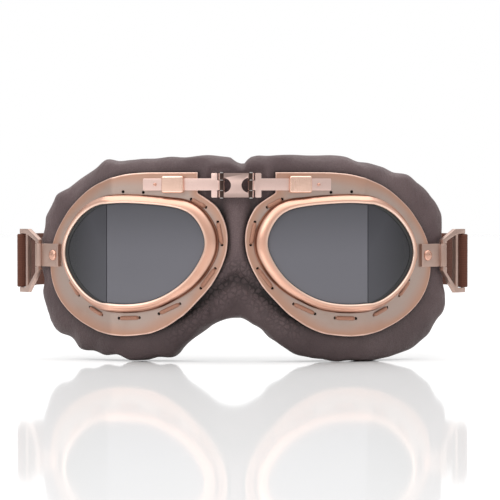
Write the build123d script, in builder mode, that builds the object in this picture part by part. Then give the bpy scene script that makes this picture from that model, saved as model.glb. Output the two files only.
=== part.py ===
from build123d import *
from math import atan2, cos, degrees, hypot, radians, sin, tan
import os

# Aviator motorcycle goggles: two bent lens frames on a hinged nose bridge, laced pads and a strap.
# Millimetres.  X runs across the face, Y runs from the lenses back to the head, Z is up.
# The origin is on the floor under the middle of the whole thing, strap included.
# Names end in _l for the -X side and _r for the +X side.

os.makedirs("parts", exist_ok=True)

# ---------------------------------------------------------------- driving dimensions
front_y = -68.5          # where the two front panes would meet at the nose
front_tilt = 12.0        # front panes sweep back from the nose by this many degrees
temple_tilt = 46.0       # side panes sweep back by this many
bend_x = 55.0            # distance of the bend from the middle

flange_t = 1.0           # sheet metal of the lens frames
gasket_t = 1.0
lens_t = 2.0
lip_t = 1.5
lens_grip = 2.6          # how far the bezel overlaps the glass
bezel_w = 4.0            # visible width of the bezel, top and bottom
nasal_extra = 1.6        # extra bezel width next to the nose
lens_gap = 0.4           # between the front pane and the side pane

hole_count = 24          # lacing holes round each eye
hole_r = 0.65
thread_r = 0.55
stitch_w = 1.3
stitch_h = 0.8

link_z = 76.9            # nose bridge
link_half_w = 5.5
link_h = 10.6
link_t = 2.0
link_scoop_r = 3.2
pin_u = 6.15             # hinge pin, measured along the front pane from the nose
pin_r = 0.75
knuckle_r = 1.4
knuckle_half = 2.1       # half the height of the middle knuckle
run_fit = 0.05

arm_z = 77.3             # sliding strip of the bridge
arm_h = 5.2
arm_low = flange_t + run_fit
arm_t = 1.4
tee_in = 7.9
tee_out = 10.6
arm_end = 41.4
nub_u = 36.0
nub_r = 0.65

keeper_in = 22.9         # clamp that the strip slides through
keeper_out = 32.8
keeper_h = 7.4
keeper_top = 4.0

plate_in = 91.4          # riveted hinge plate at the temple
plate_out = 104.5
plate_z = 46.0
plate_h = 10.2
plate_t = 1.2
rivet_u = 95.2
rivet_r = 2.4
shank_r = 1.0
dee_axis_t = 2.4         # height of the strap-loop hinge above the back of the flange
barrel_r = 1.9
rod_r = 1.0

dee_angle = 60.0         # direction of the strap loop at rest
dee_z = 43.3
dee_half = 14.3
dee_t = 1.8
bar_in = 11.0            # visible crossbar of the loop
bar_out = 13.0
wrap_s = 19.0            # centre of the bar that the strap wraps
wrap_r = 0.85
strap_w = 24.0
ply_t = 1.4
ply_len = 27.0
ply_angle = 93.0         # direction in which the strap leaves the loop
strap_back = 140.0       # rear of the strap behind the nose

lining_t = 3.5           # soft face lining on the back of the pads

# ---------------------------------------------------------------- reference planes
FRONT = Plane(
    origin=(0, front_y, 0),
    x_dir=(cos(radians(front_tilt)), sin(radians(front_tilt)), 0),
    z_dir=(sin(radians(front_tilt)), -cos(radians(front_tilt)), 0),
)
bend_y = front_y + bend_x * tan(radians(front_tilt))
bend_u = bend_x / cos(radians(front_tilt))
tdir = (cos(radians(temple_tilt)), sin(radians(temple_tilt)))
TEMPLE = Plane(
    origin=(bend_x - bend_u * tdir[0], bend_y - bend_u * tdir[1], 0),
    x_dir=(tdir[0], tdir[1], 0),
    z_dir=(tdir[1], -tdir[0], 0),
)
mitre = (front_tilt + temple_tilt) / 2
MITRE = Plane(
    origin=(bend_x, bend_y, 0),
    x_dir=(cos(radians(mitre)), sin(radians(mitre)), 0),
    z_dir=(0, 0, 1),
)


def spot(plane, u, z, t):
    """World point at u along a pane, height z, t above the back of the flange."""
    return plane.from_local_coords(Vector(u, z, t))


# ---------------------------------------------------------------- outlines on the unbent sheet
# Going round anticlockwise from the nose side of the opening: (along the sheet, height).
opening = [
    (13.1, 53.0), (15.3, 44.5), (20.6, 37.0), (28.0, 31.0), (37.0, 26.8), (47.0, 25.2),
    (57.5, 25.7), (66.5, 28.4), (75.5, 34.2), (82.0, 42.5), (82.6, 51.0), (76.5, 59.8),
    (66.5, 66.2), (54.5, 69.0), (40.5, 68.8), (27.6, 67.4), (18.6, 63.6),
]


def grown(points, margin):
    """Push every point outwards by margin(u, z)."""
    out = []
    for i, (u, z) in enumerate(points):
        before = points[i - 1]
        after = points[(i + 1) % len(points)]
        du = after[0] - before[0]
        dz = after[1] - before[1]
        length = hypot(du, dz)
        m = margin(u, z)
        out.append((u + m * dz / length, z - m * du / length))
    return out


def bezel_margin(u, z):
    return bezel_w + nasal_extra * max(0.0, (30.0 - u) / 17.0)


def hole_margin(u, z):
    low = min(1.0, max(0.0, (68.0 - z) / 42.0))
    return bezel_margin(u, z) + 1.0 + 1.3 * low


lip_line = opening
flange_hole_line = grown(opening, lambda u, z: 0.4)
glass_line = grown(opening, lambda u, z: lens_grip - 0.1)
seat_line = grown(opening, lambda u, z: lens_grip)
bezel_line = grown(opening, bezel_margin)
shoulder_line = grown(opening, lambda u, z: bezel_margin(u, z) - 1.3)
lace_line = grown(opening, hole_margin)


def ring_face(plane, points):
    """Closed smooth outline on a plane."""
    with BuildSketch(plane) as sk:
        with BuildLine():
            Spline(*points, periodic=True)
        make_face()
    return sk.sketch


def flange_face(plane):
    """Teardrop outline of the lens frame, with the square step at the bridge."""
    with BuildSketch(plane) as sk:
        with BuildLine():
            Line((17.1, 73.6), (17.1, 82.6))
            Line((17.1, 82.6), (38.0, 82.6))
            Spline(
                (38.0, 82.6), (52.0, 81.4), (65.0, 77.8), (79.0, 70.9), (90.0, 61.6),
                (96.8, 51.5), (98.6, 41.0), (95.6, 31.0), (87.6, 22.6), (76.5, 16.6),
                (63.0, 12.4), (51.0, 11.0), (40.5, 11.9), (30.6, 15.6), (21.6, 22.0),
                (12.9, 31.1), (6.4, 41.6), (3.7, 52.1), (5.0, 61.0), (9.6, 68.6), (17.1, 73.6),
                tangents=((1, 0), (0.8, 0.55)),
            )
        make_face()
    return sk.sketch


with BuildPart() as nasal_zone:
    with Locations(MITRE.location * Location((-150, 0, 0))):
        Box(300, 300, 300)
with BuildPart() as temple_zone:
    with Locations(MITRE.location * Location((150, 0, 0))):
        Box(300, 300, 300)


def bent_layer(outer, inner, low, high):
    """A layer of the bent frame between two outlines, from height low to high."""
    halves = []
    for plane, zone in ((FRONT, nasal_zone), (TEMPLE, temple_zone)):
        with BuildPart() as half:
            extrude(outer(plane.offset(low)), amount=high - low)
            if inner is not None:
                extrude(inner(plane.offset(low)), amount=high - low, mode=Mode.SUBTRACT)
            add(zone.part, mode=Mode.INTERSECT)
        halves.append(half.part)
    return halves


def line_face(points):
    return lambda plane: ring_face(plane, points)


# ---------------------------------------------------------------- lacing positions
with BuildLine() as lace_wire:
    Spline(*lace_line, periodic=True)


# The holes beside the nose are not evenly spaced: how far each sits back along the line, in mm.
nose_shift = {22: 5.6, 23: 7.3, 0: 8.0, 1: 7.0, 2: 5.3, 3: 3.8, 4: 1.2}


def lace_spots():
    """Pairs of holes joined by a stitch, then all the holes."""
    spots = []
    line = lace_wire.line.edges()[0]
    for i in range(hole_count):
        share = (i + 0.1) / hole_count - nose_shift.get(i, 0) / line.length
        p = line.position_at(share % 1.0)
        under_keeper = keeper_in - 2.0 < p.X < keeper_out + 1.2 and p.Z == 0 and p.Y > 70
        upper_temple = p.X > 53.0 and p.Y > 56.0
        spots.append(None if under_keeper or upper_temple else (p.X, p.Y))
    pairs = []
    for i in range(0, hole_count, 2):
        a = spots[i]
        b = spots[(i + 1) % hole_count]
        bare = a and a[0] > 38.0 and a[1] > 60.0
        if a and b and not bare and (a[0] - bend_u - 1.2) * (b[0] - bend_u - 1.2) > 0:
            pairs.append((a, b))
    return pairs, [s for s in spots if s]


stitch_pairs, hole_spots = lace_spots()
print("holes", len(hole_spots), "stitches", len(stitch_pairs))
print([(round(u, 2), round(z, 2)) for u, z in hole_spots])


def plane_of(u):
    return FRONT if u < bend_u + 1.2 else TEMPLE


# ---------------------------------------------------------------- lens frame (flange)
flange_halves = bent_layer(flange_face, line_face(flange_hole_line), 0, flange_t)
with BuildPart() as eye_frame_r:
    add(flange_halves[0])
    add(flange_halves[1])
    for u, z in hole_spots:
        with BuildSketch(plane_of(u).offset(-1)):
            with Locations((u, z)):
                Circle(hole_r)
        extrude(amount=3, mode=Mode.SUBTRACT)
    with BuildSketch(TEMPLE.offset(-1)):
        with Locations((rivet_u, plate_z)):
            Circle(shank_r)
    extrude(amount=3, mode=Mode.SUBTRACT)
eye_frame_r.part.label = "eye_frame_r"
export_step(eye_frame_r.part, "parts/eye_frame_r.step")
with BuildPart() as eye_frame_l:
    mirror(eye_frame_r.part, about=Plane.YZ)
eye_frame_l.part.label = "eye_frame_l"
export_step(eye_frame_l.part, "parts/eye_frame_l.step")
print("eye_frame", round(eye_frame_r.part.volume, 1))

# ---------------------------------------------------------------- gasket under the glass
gasket_low = flange_t
lens_low = flange_t + gasket_t
lens_high = lens_low + lens_t
bezel_high = lens_high + lip_t

gasket_halves = bent_layer(
    line_face(glass_line), line_face(flange_hole_line), gasket_low, lens_low
)
with BuildPart() as lens_gasket_r:
    add(gasket_halves[0])
    add(gasket_halves[1])
lens_gasket_r.part.label = "lens_gasket_r"
export_step(lens_gasket_r.part, "parts/lens_gasket_r.step")
with BuildPart() as lens_gasket_l:
    mirror(lens_gasket_r.part, about=Plane.YZ)
lens_gasket_l.part.label = "lens_gasket_l"
export_step(lens_gasket_l.part, "parts/lens_gasket_l.step")

# ---------------------------------------------------------------- glass panes
glass_halves = bent_layer(line_face(glass_line), None, lens_low, lens_high)
with BuildPart() as lens_front_r:
    add(glass_halves[0])
    with Locations(MITRE.location):
        Box(lens_gap, 60, 300, mode=Mode.SUBTRACT)
lens_front_r.part.label = "lens_front_r"
export_step(lens_front_r.part, "parts/lens_front_r.step")
with BuildPart() as lens_front_l:
    mirror(lens_front_r.part, about=Plane.YZ)
lens_front_l.part.label = "lens_front_l"
export_step(lens_front_l.part, "parts/lens_front_l.step")

with BuildPart() as lens_side_r:
    add(glass_halves[1])
    with Locations(MITRE.location):
        Box(lens_gap, 60, 300, mode=Mode.SUBTRACT)
lens_side_r.part.label = "lens_side_r"
export_step(lens_side_r.part, "parts/lens_side_r.step")
with BuildPart() as lens_side_l:
    mirror(lens_side_r.part, about=Plane.YZ)
lens_side_l.part.label = "lens_side_l"
export_step(lens_side_l.part, "parts/lens_side_l.step")

# ---------------------------------------------------------------- bezel that clamps the glass
wall_halves = bent_layer(line_face(bezel_line), line_face(seat_line), flange_t, 3.0)
slope_halves = bent_layer(line_face(shoulder_line), line_face(seat_line), 3.0, lens_high)
lip_halves = bent_layer(line_face(shoulder_line), line_face(lip_line), lens_high, bezel_high)
with BuildPart() as lens_rim_r:
    for piece in wall_halves + slope_halves + lip_halves:
        add(piece)
lens_rim_r.part.label = "lens_rim_r"
export_step(lens_rim_r.part, "parts/lens_rim_r.step")
with BuildPart() as lens_rim_l:
    mirror(lens_rim_r.part, about=Plane.YZ)
lens_rim_l.part.label = "lens_rim_l"
export_step(lens_rim_l.part, "parts/lens_rim_l.step")
print("lens_rim", round(lens_rim_r.part.volume, 1), len(lens_rim_r.part.solids()))

# ---------------------------------------------------------------- lacing between the holes
with BuildPart() as lacing_r:
    for (u1, z1), (u2, z2) in stitch_pairs:
        base = plane_of((u1 + u2) / 2)
        gap = hypot(u2 - u1, z2 - z1)
        turn = degrees(atan2(z2 - z1, u2 - u1))
        with BuildSketch(base.offset(flange_t)):
            with Locations(Location(((u1 + u2) / 2, (z1 + z2) / 2, 0), (0, 0, turn))):
                SlotCenterToCenter(gap, stitch_w)
        extrude(amount=stitch_h)
        with BuildSketch(base):
            with Locations((u1, z1), (u2, z2)):
                Circle(thread_r)
        extrude(amount=flange_t + stitch_h)
lacing_r.part.label = "lacing_r"
export_step(lacing_r.part, "parts/lacing_r.step")
with BuildPart() as lacing_l:
    mirror(lacing_r.part, about=Plane.YZ)
lacing_l.part.label = "lacing_l"
export_step(lacing_l.part, "parts/lacing_l.step")
print("lacing solids", len(lacing_r.part.solids()))

# ---------------------------------------------------------------- bridge link and its pins
arm_mid = arm_low + arm_t / 2
pin_at = spot(FRONT, pin_u, link_z, arm_mid)
link_low = link_z - link_h / 2
with BuildPart() as bridge_link:
    with BuildSketch(Plane.XY.offset(link_low)):
        with Locations((0, pin_at.Y)):
            Rectangle(2 * link_half_w, link_t)
    extrude(amount=link_h)
    with BuildSketch(Plane(origin=(0, pin_at.Y - 10, 0), x_dir=(1, 0, 0), z_dir=(0, -1, 0))):
        with Locations((-link_half_w, link_z), (link_half_w, link_z)):
            Circle(link_scoop_r)
    extrude(amount=-20, mode=Mode.SUBTRACT)
    for side in (-1, 1):
        for low in (link_low, link_z + knuckle_half + 0.3):
            height = link_h / 2 - knuckle_half - 0.3
            with BuildSketch(Plane.XY.offset(low)):
                with Locations((side * pin_at.X, pin_at.Y)):
                    Circle(knuckle_r)
            extrude(amount=height)
            with BuildSketch(Plane.XY.offset(low)):
                with Locations((side * pin_at.X, pin_at.Y)):
                    Circle(pin_r)
            extrude(amount=height, mode=Mode.SUBTRACT)
bridge_link.part.label = "bridge_link"
export_step(bridge_link.part, "parts/bridge_link.step")
print("link solids", len(bridge_link.part.solids()))

with BuildPart() as hinge_pins:
    with BuildSketch(Plane.XY.offset(link_low - 0.4)):
        with Locations((-pin_at.X, pin_at.Y), (pin_at.X, pin_at.Y)):
            Circle(pin_r)
    extrude(amount=link_h + 0.8)
hinge_pins.part.label = "hinge_pins"
export_step(hinge_pins.part, "parts/hinge_pins.step")

# ---------------------------------------------------------------- sliding strip with its tee head
with BuildPart() as bridge_arm_r:
    with BuildSketch(FRONT.offset(arm_low)):
        with Locations(((tee_in + tee_out) / 2, link_z)):
            RectangleRounded(tee_out - tee_in, link_h, 0.5)
        with Locations(((tee_in + pin_u) / 2, link_z)):
            Rectangle(tee_in - pin_u + 0.2, 2 * knuckle_half)
    extrude(amount=arm_t)
    with BuildSketch(FRONT.offset(arm_low)):
        with Locations(((tee_out + arm_end) / 2 - 0.2, arm_z)):
            RectangleRounded(arm_end - tee_out + 0.4, arm_h, 0.5)
    extrude(amount=arm_t)
    with BuildSketch(Plane.XY.offset(link_z - knuckle_half)):
        with Locations((pin_at.X, pin_at.Y)):
            Circle(knuckle_r)
    extrude(amount=2 * knuckle_half)
    with BuildSketch(Plane.XY.offset(link_z - knuckle_half)):
        with Locations((pin_at.X, pin_at.Y)):
            Circle(pin_r + run_fit)
    extrude(amount=2 * knuckle_half, mode=Mode.SUBTRACT)
bridge_arm_r.part.label = "bridge_arm_r"
export_step(bridge_arm_r.part, "parts/bridge_arm_r.step")
with BuildPart() as bridge_arm_l:
    mirror(bridge_arm_r.part, about=Plane.YZ)
bridge_arm_l.part.label = "bridge_arm_l"
export_step(bridge_arm_l.part, "parts/bridge_arm_l.step")

with BuildPart() as stop_nub_r:
    with BuildSketch(FRONT.offset(arm_low + arm_t)):
        with Locations((nub_u, arm_z)):
            Circle(nub_r)
    extrude(amount=0.9)
    crown = stop_nub_r.faces().filter_by(lambda f: abs(f.normal_at().dot(FRONT.z_dir) - 1) < 0.001)
    fillet(crown.sort_by(Axis.Y)[0].edges(), 0.4)
stop_nub_r.part.label = "stop_nub_r"
export_step(stop_nub_r.part, "parts/stop_nub_r.step")
with BuildPart() as stop_nub_l:
    mirror(stop_nub_r.part, about=Plane.YZ)
stop_nub_l.part.label = "stop_nub_l"
export_step(stop_nub_l.part, "parts/stop_nub_l.step")

# ---------------------------------------------------------------- keeper clamp
with BuildPart() as keeper_r:
    with BuildSketch(FRONT.offset(flange_t)):
        with Locations(((keeper_in + keeper_out) / 2, arm_z)):
            RectangleRounded(keeper_out - keeper_in, keeper_h, 1.0)
    extrude(amount=keeper_top - flange_t)
    with BuildSketch(FRONT.offset(flange_t)):
        with Locations(((keeper_in + keeper_out) / 2, arm_z)):
            Rectangle(20, arm_h + 2 * run_fit)
    extrude(amount=arm_t + 2 * run_fit, mode=Mode.SUBTRACT)
    crown = keeper_r.faces().filter_by(lambda f: abs(f.normal_at().dot(FRONT.z_dir) - 1) < 0.001)
    fillet(crown.sort_by(Axis.Y)[0].edges(), 0.7)
keeper_r.part.label = "keeper_r"
export_step(keeper_r.part, "parts/keeper_r.step")
with BuildPart() as keeper_l:
    mirror(keeper_r.part, about=Plane.YZ)
keeper_l.part.label = "keeper_l"
export_step(keeper_l.part, "parts/keeper_l.step")

# ---------------------------------------------------------------- temple hinge plate and rivet
hinge_at = spot(TEMPLE, plate_out, plate_z, dee_axis_t)
plate_low = plate_z - plate_h / 2
with BuildPart() as temple_plate_r:
    with BuildSketch(TEMPLE.offset(flange_t)):
        with Locations(((plate_in + plate_out) / 2, plate_z)):
            Rectangle(plate_out - plate_in, plate_h)
    extrude(amount=plate_t)
    with BuildSketch(Plane.XY.offset(plate_low)):
        with Locations((hinge_at.X, hinge_at.Y)):
            Circle(barrel_r)
    extrude(amount=plate_h)
    with BuildSketch(Plane.XY.offset(plate_low)):
        with Locations((hinge_at.X, hinge_at.Y)):
            Circle(rod_r + run_fit)
    extrude(amount=plate_h, mode=Mode.SUBTRACT)
    with BuildSketch(TEMPLE):
        with Locations((rivet_u, plate_z)):
            Circle(shank_r)
    extrude(amount=4, mode=Mode.SUBTRACT)
temple_plate_r.part.label = "temple_plate_r"
export_step(temple_plate_r.part, "parts/temple_plate_r.step")
with BuildPart() as temple_plate_l:
    mirror(temple_plate_r.part, about=Plane.YZ)
temple_plate_l.part.label = "temple_plate_l"
export_step(temple_plate_l.part, "parts/temple_plate_l.step")

with BuildPart() as temple_rivet_r:
    with BuildSketch(TEMPLE):
        with Locations((rivet_u, plate_z)):
            Circle(shank_r)
    extrude(amount=flange_t + plate_t)
    with BuildSketch(TEMPLE.offset(flange_t + plate_t)):
        with Locations((rivet_u, plate_z)):
            Circle(rivet_r)
    extrude(amount=1.1)
    crown = temple_rivet_r.faces().filter_by(lambda f: abs(f.normal_at().dot(TEMPLE.z_dir) - 1) < 0.001)
    fillet(crown.sort_by(Axis.Y)[0].edges(), 0.7)
temple_rivet_r.part.label = "temple_rivet_r"
export_step(temple_rivet_r.part, "parts/temple_rivet_r.step")
with BuildPart() as temple_rivet_l:
    mirror(temple_rivet_r.part, about=Plane.YZ)
temple_rivet_l.part.label = "temple_rivet_l"
export_step(temple_rivet_l.part, "parts/temple_rivet_l.step")

# ---------------------------------------------------------------- strap loop
DEE = Plane(
    origin=(hinge_at.X, hinge_at.Y, 0),
    x_dir=(cos(radians(dee_angle)), sin(radians(dee_angle)), 0),
    z_dir=(sin(radians(dee_angle)), -cos(radians(dee_angle)), 0),
)
rod_half = plate_h / 2 + 1.8
bar_end = wrap_s + wrap_r


def dee_edge(s, inset):
    """Height of the loop's upper and lower edge at distance s from the hinge."""
    f = (s + 1.0) / (bar_in + 1.0)
    f = min(1.0, f)
    mid = plate_z + f * (dee_z - plate_z)
    half = rod_half + f * (dee_half - rod_half) - inset
    return mid - half, mid + half


with BuildPart() as strap_loop_r:
    with BuildSketch(DEE.offset(-dee_t / 2)):
        low_a, high_a = dee_edge(-1.0, 0)
        low_b, high_b = dee_edge(bar_in, 0)
        with BuildLine():
            Polyline(
                (-1.0, low_a), (bar_in, low_b), (bar_end, low_b),
                (bar_end, high_b), (bar_in, high_b), (-1.0, high_a), close=True,
            )
        make_face()
        low_c, high_c = dee_edge(2.6, 2.0)
        low_d, high_d = dee_edge(bar_in, 2.6)
        with BuildLine():
            Polyline(
                (2.6, low_c), (bar_in, low_d), (bar_in, high_d), (2.6, high_c), close=True
            )
        make_face(mode=Mode.SUBTRACT)
        with Locations((0.8, plate_z)):
            Rectangle(3.8, plate_h + 0.3, mode=Mode.SUBTRACT)
        slot_mid = (bar_out + bar_end) / 2 + 0.5
        with Locations((slot_mid, dee_z)):
            Rectangle(bar_end - bar_out + 1.0, strap_w + 0.4, mode=Mode.SUBTRACT)
    extrude(amount=dee_t)
    fillet(strap_loop_r.edges().filter_by(Axis((0, 0, 0), DEE.z_dir)), 0.35)
    with BuildSketch(Plane.XY.offset(plate_z - rod_half)):
        with Locations((hinge_at.X, hinge_at.Y)):
            Circle(rod_r)
    extrude(amount=2 * rod_half)
    with BuildSketch(Plane.XY.offset(dee_z - dee_half + 0.6)):
        wrap_at = spot(DEE, wrap_s, 0, 0)
        with Locations((wrap_at.X, wrap_at.Y)):
            Circle(wrap_r)
    extrude(amount=2 * dee_half - 1.2)
strap_loop_r.part.label = "strap_loop_r"
export_step(strap_loop_r.part, "parts/strap_loop_r.step")
with BuildPart() as strap_loop_l:
    mirror(strap_loop_r.part, about=Plane.YZ)
strap_loop_l.part.label = "strap_loop_l"
export_step(strap_loop_l.part, "parts/strap_loop_l.step")
print("loop solids", len(strap_loop_r.part.solids()))

# ---------------------------------------------------------------- strap end sewn round the loop
ply_dir = (cos(radians(ply_angle)), sin(radians(ply_angle)), 0)
PLY = Plane(
    origin=(wrap_at.X, wrap_at.Y, dee_z - strap_w / 2),
    x_dir=ply_dir,
    z_dir=(0, 0, 1),
)
with BuildPart() as strap_end_r:
    with BuildSketch(PLY):
        Circle(wrap_r + 0.05 + ply_t)
        with Locations((ply_len / 2, 0)):
            Rectangle(ply_len, 2 * (wrap_r + 0.05 + ply_t))
        Circle(wrap_r + 0.05, mode=Mode.SUBTRACT)
        with Locations((ply_len / 2, 0)):
            Rectangle(ply_len, 2 * (wrap_r + 0.05), mode=Mode.SUBTRACT)
    extrude(amount=strap_w)
strap_end_r.part.label = "strap_end_r"
export_step(strap_end_r.part, "parts/strap_end_r.step")
with BuildPart() as strap_end_l:
    mirror(strap_end_r.part, about=Plane.YZ)
strap_end_l.part.label = "strap_end_l"
export_step(strap_end_l.part, "parts/strap_end_l.step")

# ---------------------------------------------------------------- strap round the back of the head
band_from = PLY.from_local_coords(Vector(3.0, 0, strap_w / 2))
band_bend = PLY.from_local_coords(Vector(ply_len, 0, strap_w / 2))
rear_y = front_y + strap_back
with BuildPart() as strap_band:
    with BuildLine() as band_path:
        Line(band_from, band_bend)
        Spline(
            band_bend,
            (0, rear_y, dee_z),
            tangents=(ply_dir, (-1, 0, 0)),
            tangent_scalars=(1.25, 1.1),
        )
    with BuildSketch(Plane(origin=band_from, x_dir=(0, 0, 1), z_dir=ply_dir)):
        Rectangle(strap_w, 2 * (wrap_r + 0.05))
    sweep(path=band_path.wires()[0])
    mirror(strap_band.part, about=Plane.YZ)
strap_band.part.label = "strap_band"
export_step(strap_band.part, "parts/strap_band.step")
print("band", len(strap_band.part.solids()), strap_band.part.bounding_box())

# ---------------------------------------------------------------- adjuster on the strap
with BuildPart() as strap_slider:
    with Locations((0, rear_y, dee_z)):
        Box(9, 2 * (wrap_r + 0.05) + 3.2, strap_w + 4)
        Box(9, 2 * (wrap_r + 0.05) + 0.3, strap_w + 0.3, mode=Mode.SUBTRACT)
    fillet(strap_slider.edges().filter_by(Axis.X).group_by(Axis.Z)[-1], 0.6)
strap_slider.part.label = "strap_slider"
export_step(strap_slider.part, "parts/strap_slider.step")

# ---------------------------------------------------------------- pads
# Half outline seen from the front, from the arch over the nose, round the cheek and brow.
cheek = (
    (0, 18.9), (9, 16.8), (19.5, 9.4), (31, 2.8), (47, -0.6), (63, 1.4), (76, 7.6), (85.5, 18),
    (90.4, 31), (91, 46), (88.6, 60), (82, 72), (70, 81.4), (52, 87.8), (31, 89.7), (12, 90.0),
    (0, 88.4),
)
eye_hole = [
    (14.5, 50), (17.5, 40), (27, 30.5), (43, 25.4), (60, 27.2), (73, 34.5), (78.4, 46),
    (74, 57.5), (62, 66), (46, 69.4), (30, 68), (18.5, 61),
]
VIEW = Plane(origin=(0, front_y + 80, 0), x_dir=(1, 0, 0), z_dir=(0, -1, 0))


def front_line_y(x):
    """Y of the back of the flange at x."""
    if x < bend_x:
        return front_y + x * tan(radians(front_tilt))
    return bend_y + (x - bend_x) * tan(radians(temple_tilt))


def back_points(shift):
    """The face side of the pads in plan."""
    return [(x, front_y + y - shift) for x, y in ((94, 58), (75, 46.5), (50, 35), (27, 28), (9, 24))]


nose_front = 3.5
nose_x = 4.8
nose_slope = 5.7 / 23.0


def nose_wall(y):
    return nose_x + nose_slope * (y - nose_x * tan(radians(front_tilt)))


with BuildPart() as half_pad:
    with BuildSketch(VIEW):
        with BuildLine():
            Spline(*cheek)
            Line(cheek[-1], cheek[0])
        make_face()
    extrude(amount=100)
    with BuildSketch(Plane.XY):
        Rectangle(400, 400)
    extrude(amount=120, mode=Mode.INTERSECT)


def pad_slab(shift_near, shift_far):
    """Plan outline between the flange or one back curve and another back curve."""
    with BuildSketch(Plane.XY) as sk:
        with BuildLine():
            far = back_points(shift_far)
            if shift_near is None:
                Polyline(
                    (nose_wall(24 - shift_far), front_y + 24 - shift_far),
                    (nose_x, front_line_y(nose_x)),
                    (bend_x, bend_y),
                    (94, front_line_y(94)),
                    far[0],
                )
                Spline(*far[:-1], (nose_wall(24 - shift_far), front_y + 24 - shift_far))
            else:
                near = back_points(shift_near)
                a = (nose_wall(24 - shift_near), front_y + 24 - shift_near)
                b = (nose_wall(24 - shift_far), front_y + 24 - shift_far)
                Spline(*near[:-1], a)
                Line(a, b)
                Spline(*far[:-1], b)
                Line(far[0], near[0])
        make_face()
    return sk.sketch


cushion_plan = pad_slab(None, lining_t)
lining_plan = pad_slab(lining_t, 0)
eye_tunnel = ring_face(VIEW, eye_hole)

with BuildPart() as pad_r:
    extrude(cushion_plan, amount=120)
    add(half_pad.part, mode=Mode.INTERSECT)
    extrude(eye_tunnel, amount=100, mode=Mode.SUBTRACT)
pad_r.part.label = "pad_r"
export_step(pad_r.part, "parts/pad_r.step")
with BuildPart() as pad_l:
    mirror(pad_r.part, about=Plane.YZ)
pad_l.part.label = "pad_l"
export_step(pad_l.part, "parts/pad_l.step")

with BuildPart() as pad_lining_r:
    extrude(lining_plan, amount=120)
    add(half_pad.part, mode=Mode.INTERSECT)
    extrude(eye_tunnel, amount=100, mode=Mode.SUBTRACT)
pad_lining_r.part.label = "pad_lining_r"
export_step(pad_lining_r.part, "parts/pad_lining_r.step")
with BuildPart() as pad_lining_l:
    mirror(pad_lining_r.part, about=Plane.YZ)
pad_lining_l.part.label = "pad_lining_l"
export_step(pad_lining_l.part, "parts/pad_lining_l.step")

# ---------------------------------------------------------------- leather across the nose
with BuildPart() as nose_leather:
    with BuildSketch(Plane.XY):
        with BuildLine():
            Polyline(
                (0, front_y + nose_front),
                (nose_wall(nose_front), front_y + nose_front),
                (nose_wall(24), front_y + 24),
                (0, front_y + 24),
                close=True,
            )
        make_face()
    extrude(amount=120)
    add(half_pad.part, mode=Mode.INTERSECT)
    mirror(nose_leather.part, about=Plane.YZ)
nose_leather.part.label = "nose_leather"
export_step(nose_leather.part, "parts/nose_leather.step")
print("pads", pad_r.part.bounding_box(), len(pad_r.part.solids()), len(nose_leather.part.solids()))
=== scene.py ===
# %% [markdown]
# # Aviator motorcycle goggles
# This lesson dresses a fixed metal-and-glass model of a pair of goggles.  The hard parts come
# from a CAD model with joints; the leather, the strap and the finishes are made here.
# All lengths are metres, X runs across the face, Y from the lenses to the head, Z is up.

# %% Load the fixed model
import math

import bmesh
import bpy
import numpy as np
from mathutils import Matrix, Vector
from mathutils.bvhtree import BVHTree


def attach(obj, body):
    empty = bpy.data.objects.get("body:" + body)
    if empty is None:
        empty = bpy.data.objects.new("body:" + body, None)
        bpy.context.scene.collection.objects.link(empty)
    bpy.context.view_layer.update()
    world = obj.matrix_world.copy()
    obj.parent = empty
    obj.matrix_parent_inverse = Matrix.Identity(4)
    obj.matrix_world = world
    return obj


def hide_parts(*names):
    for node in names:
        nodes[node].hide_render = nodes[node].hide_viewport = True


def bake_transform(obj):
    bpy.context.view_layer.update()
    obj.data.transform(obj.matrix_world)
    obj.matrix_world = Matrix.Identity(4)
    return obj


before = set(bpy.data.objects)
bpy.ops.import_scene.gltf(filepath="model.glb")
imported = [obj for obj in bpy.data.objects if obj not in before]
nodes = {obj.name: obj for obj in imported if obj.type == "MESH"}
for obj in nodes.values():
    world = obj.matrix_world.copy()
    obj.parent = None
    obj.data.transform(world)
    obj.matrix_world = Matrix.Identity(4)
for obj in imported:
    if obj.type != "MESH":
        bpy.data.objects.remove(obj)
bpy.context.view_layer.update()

# %% [markdown]
# The goggles' two panes on each side lie on two upright planes that meet in a bend.  Every metal
# piece sits at some height above those planes, so one function that bends a flat sheet, from
# (along the sheet, height) to a point in space, is enough to place them all.

# %% The bent sheet that the metal follows
NOSE_Y = -0.0685            # where the two front panes would meet
TILT = math.radians(12.0)   # sweep of the front pane
SWEEP = math.radians(46.0)  # sweep of the side pane
BEND_X = 0.055
BEND_U = BEND_X / math.cos(TILT)
BEND_Y = NOSE_Y + BEND_X * math.tan(TILT)
BEND_R = 0.0025
MID = (TILT + SWEEP) / 2


def sheet_point(u, z, t, side=1):
    """Point at u along the sheet, height z, t out from its back; side -1 is the mirror image."""
    half = (SWEEP - TILT) / 2
    run = BEND_R * math.tan(half)
    arc = BEND_R * 2 * half
    s = u - BEND_U
    if s < -run:
        x = u * math.cos(TILT) + t * math.sin(TILT)
        y = NOSE_Y + u * math.sin(TILT) - t * math.cos(TILT)
    elif s > run:
        x = BEND_X + s * math.cos(SWEEP) + t * math.sin(SWEEP)
        y = BEND_Y + s * math.sin(SWEEP) - t * math.cos(SWEEP)
    else:
        a = TILT + (s + run) / (2 * run) * 2 * half
        x0 = BEND_X - run * math.cos(TILT) - BEND_R * math.sin(TILT)
        y0 = BEND_Y - run * math.sin(TILT) + BEND_R * math.cos(TILT)
        x = x0 + (BEND_R + t) * math.sin(a)
        y = y0 - (BEND_R + t) * math.cos(a)
    return Vector((side * x, y, z))


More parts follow.
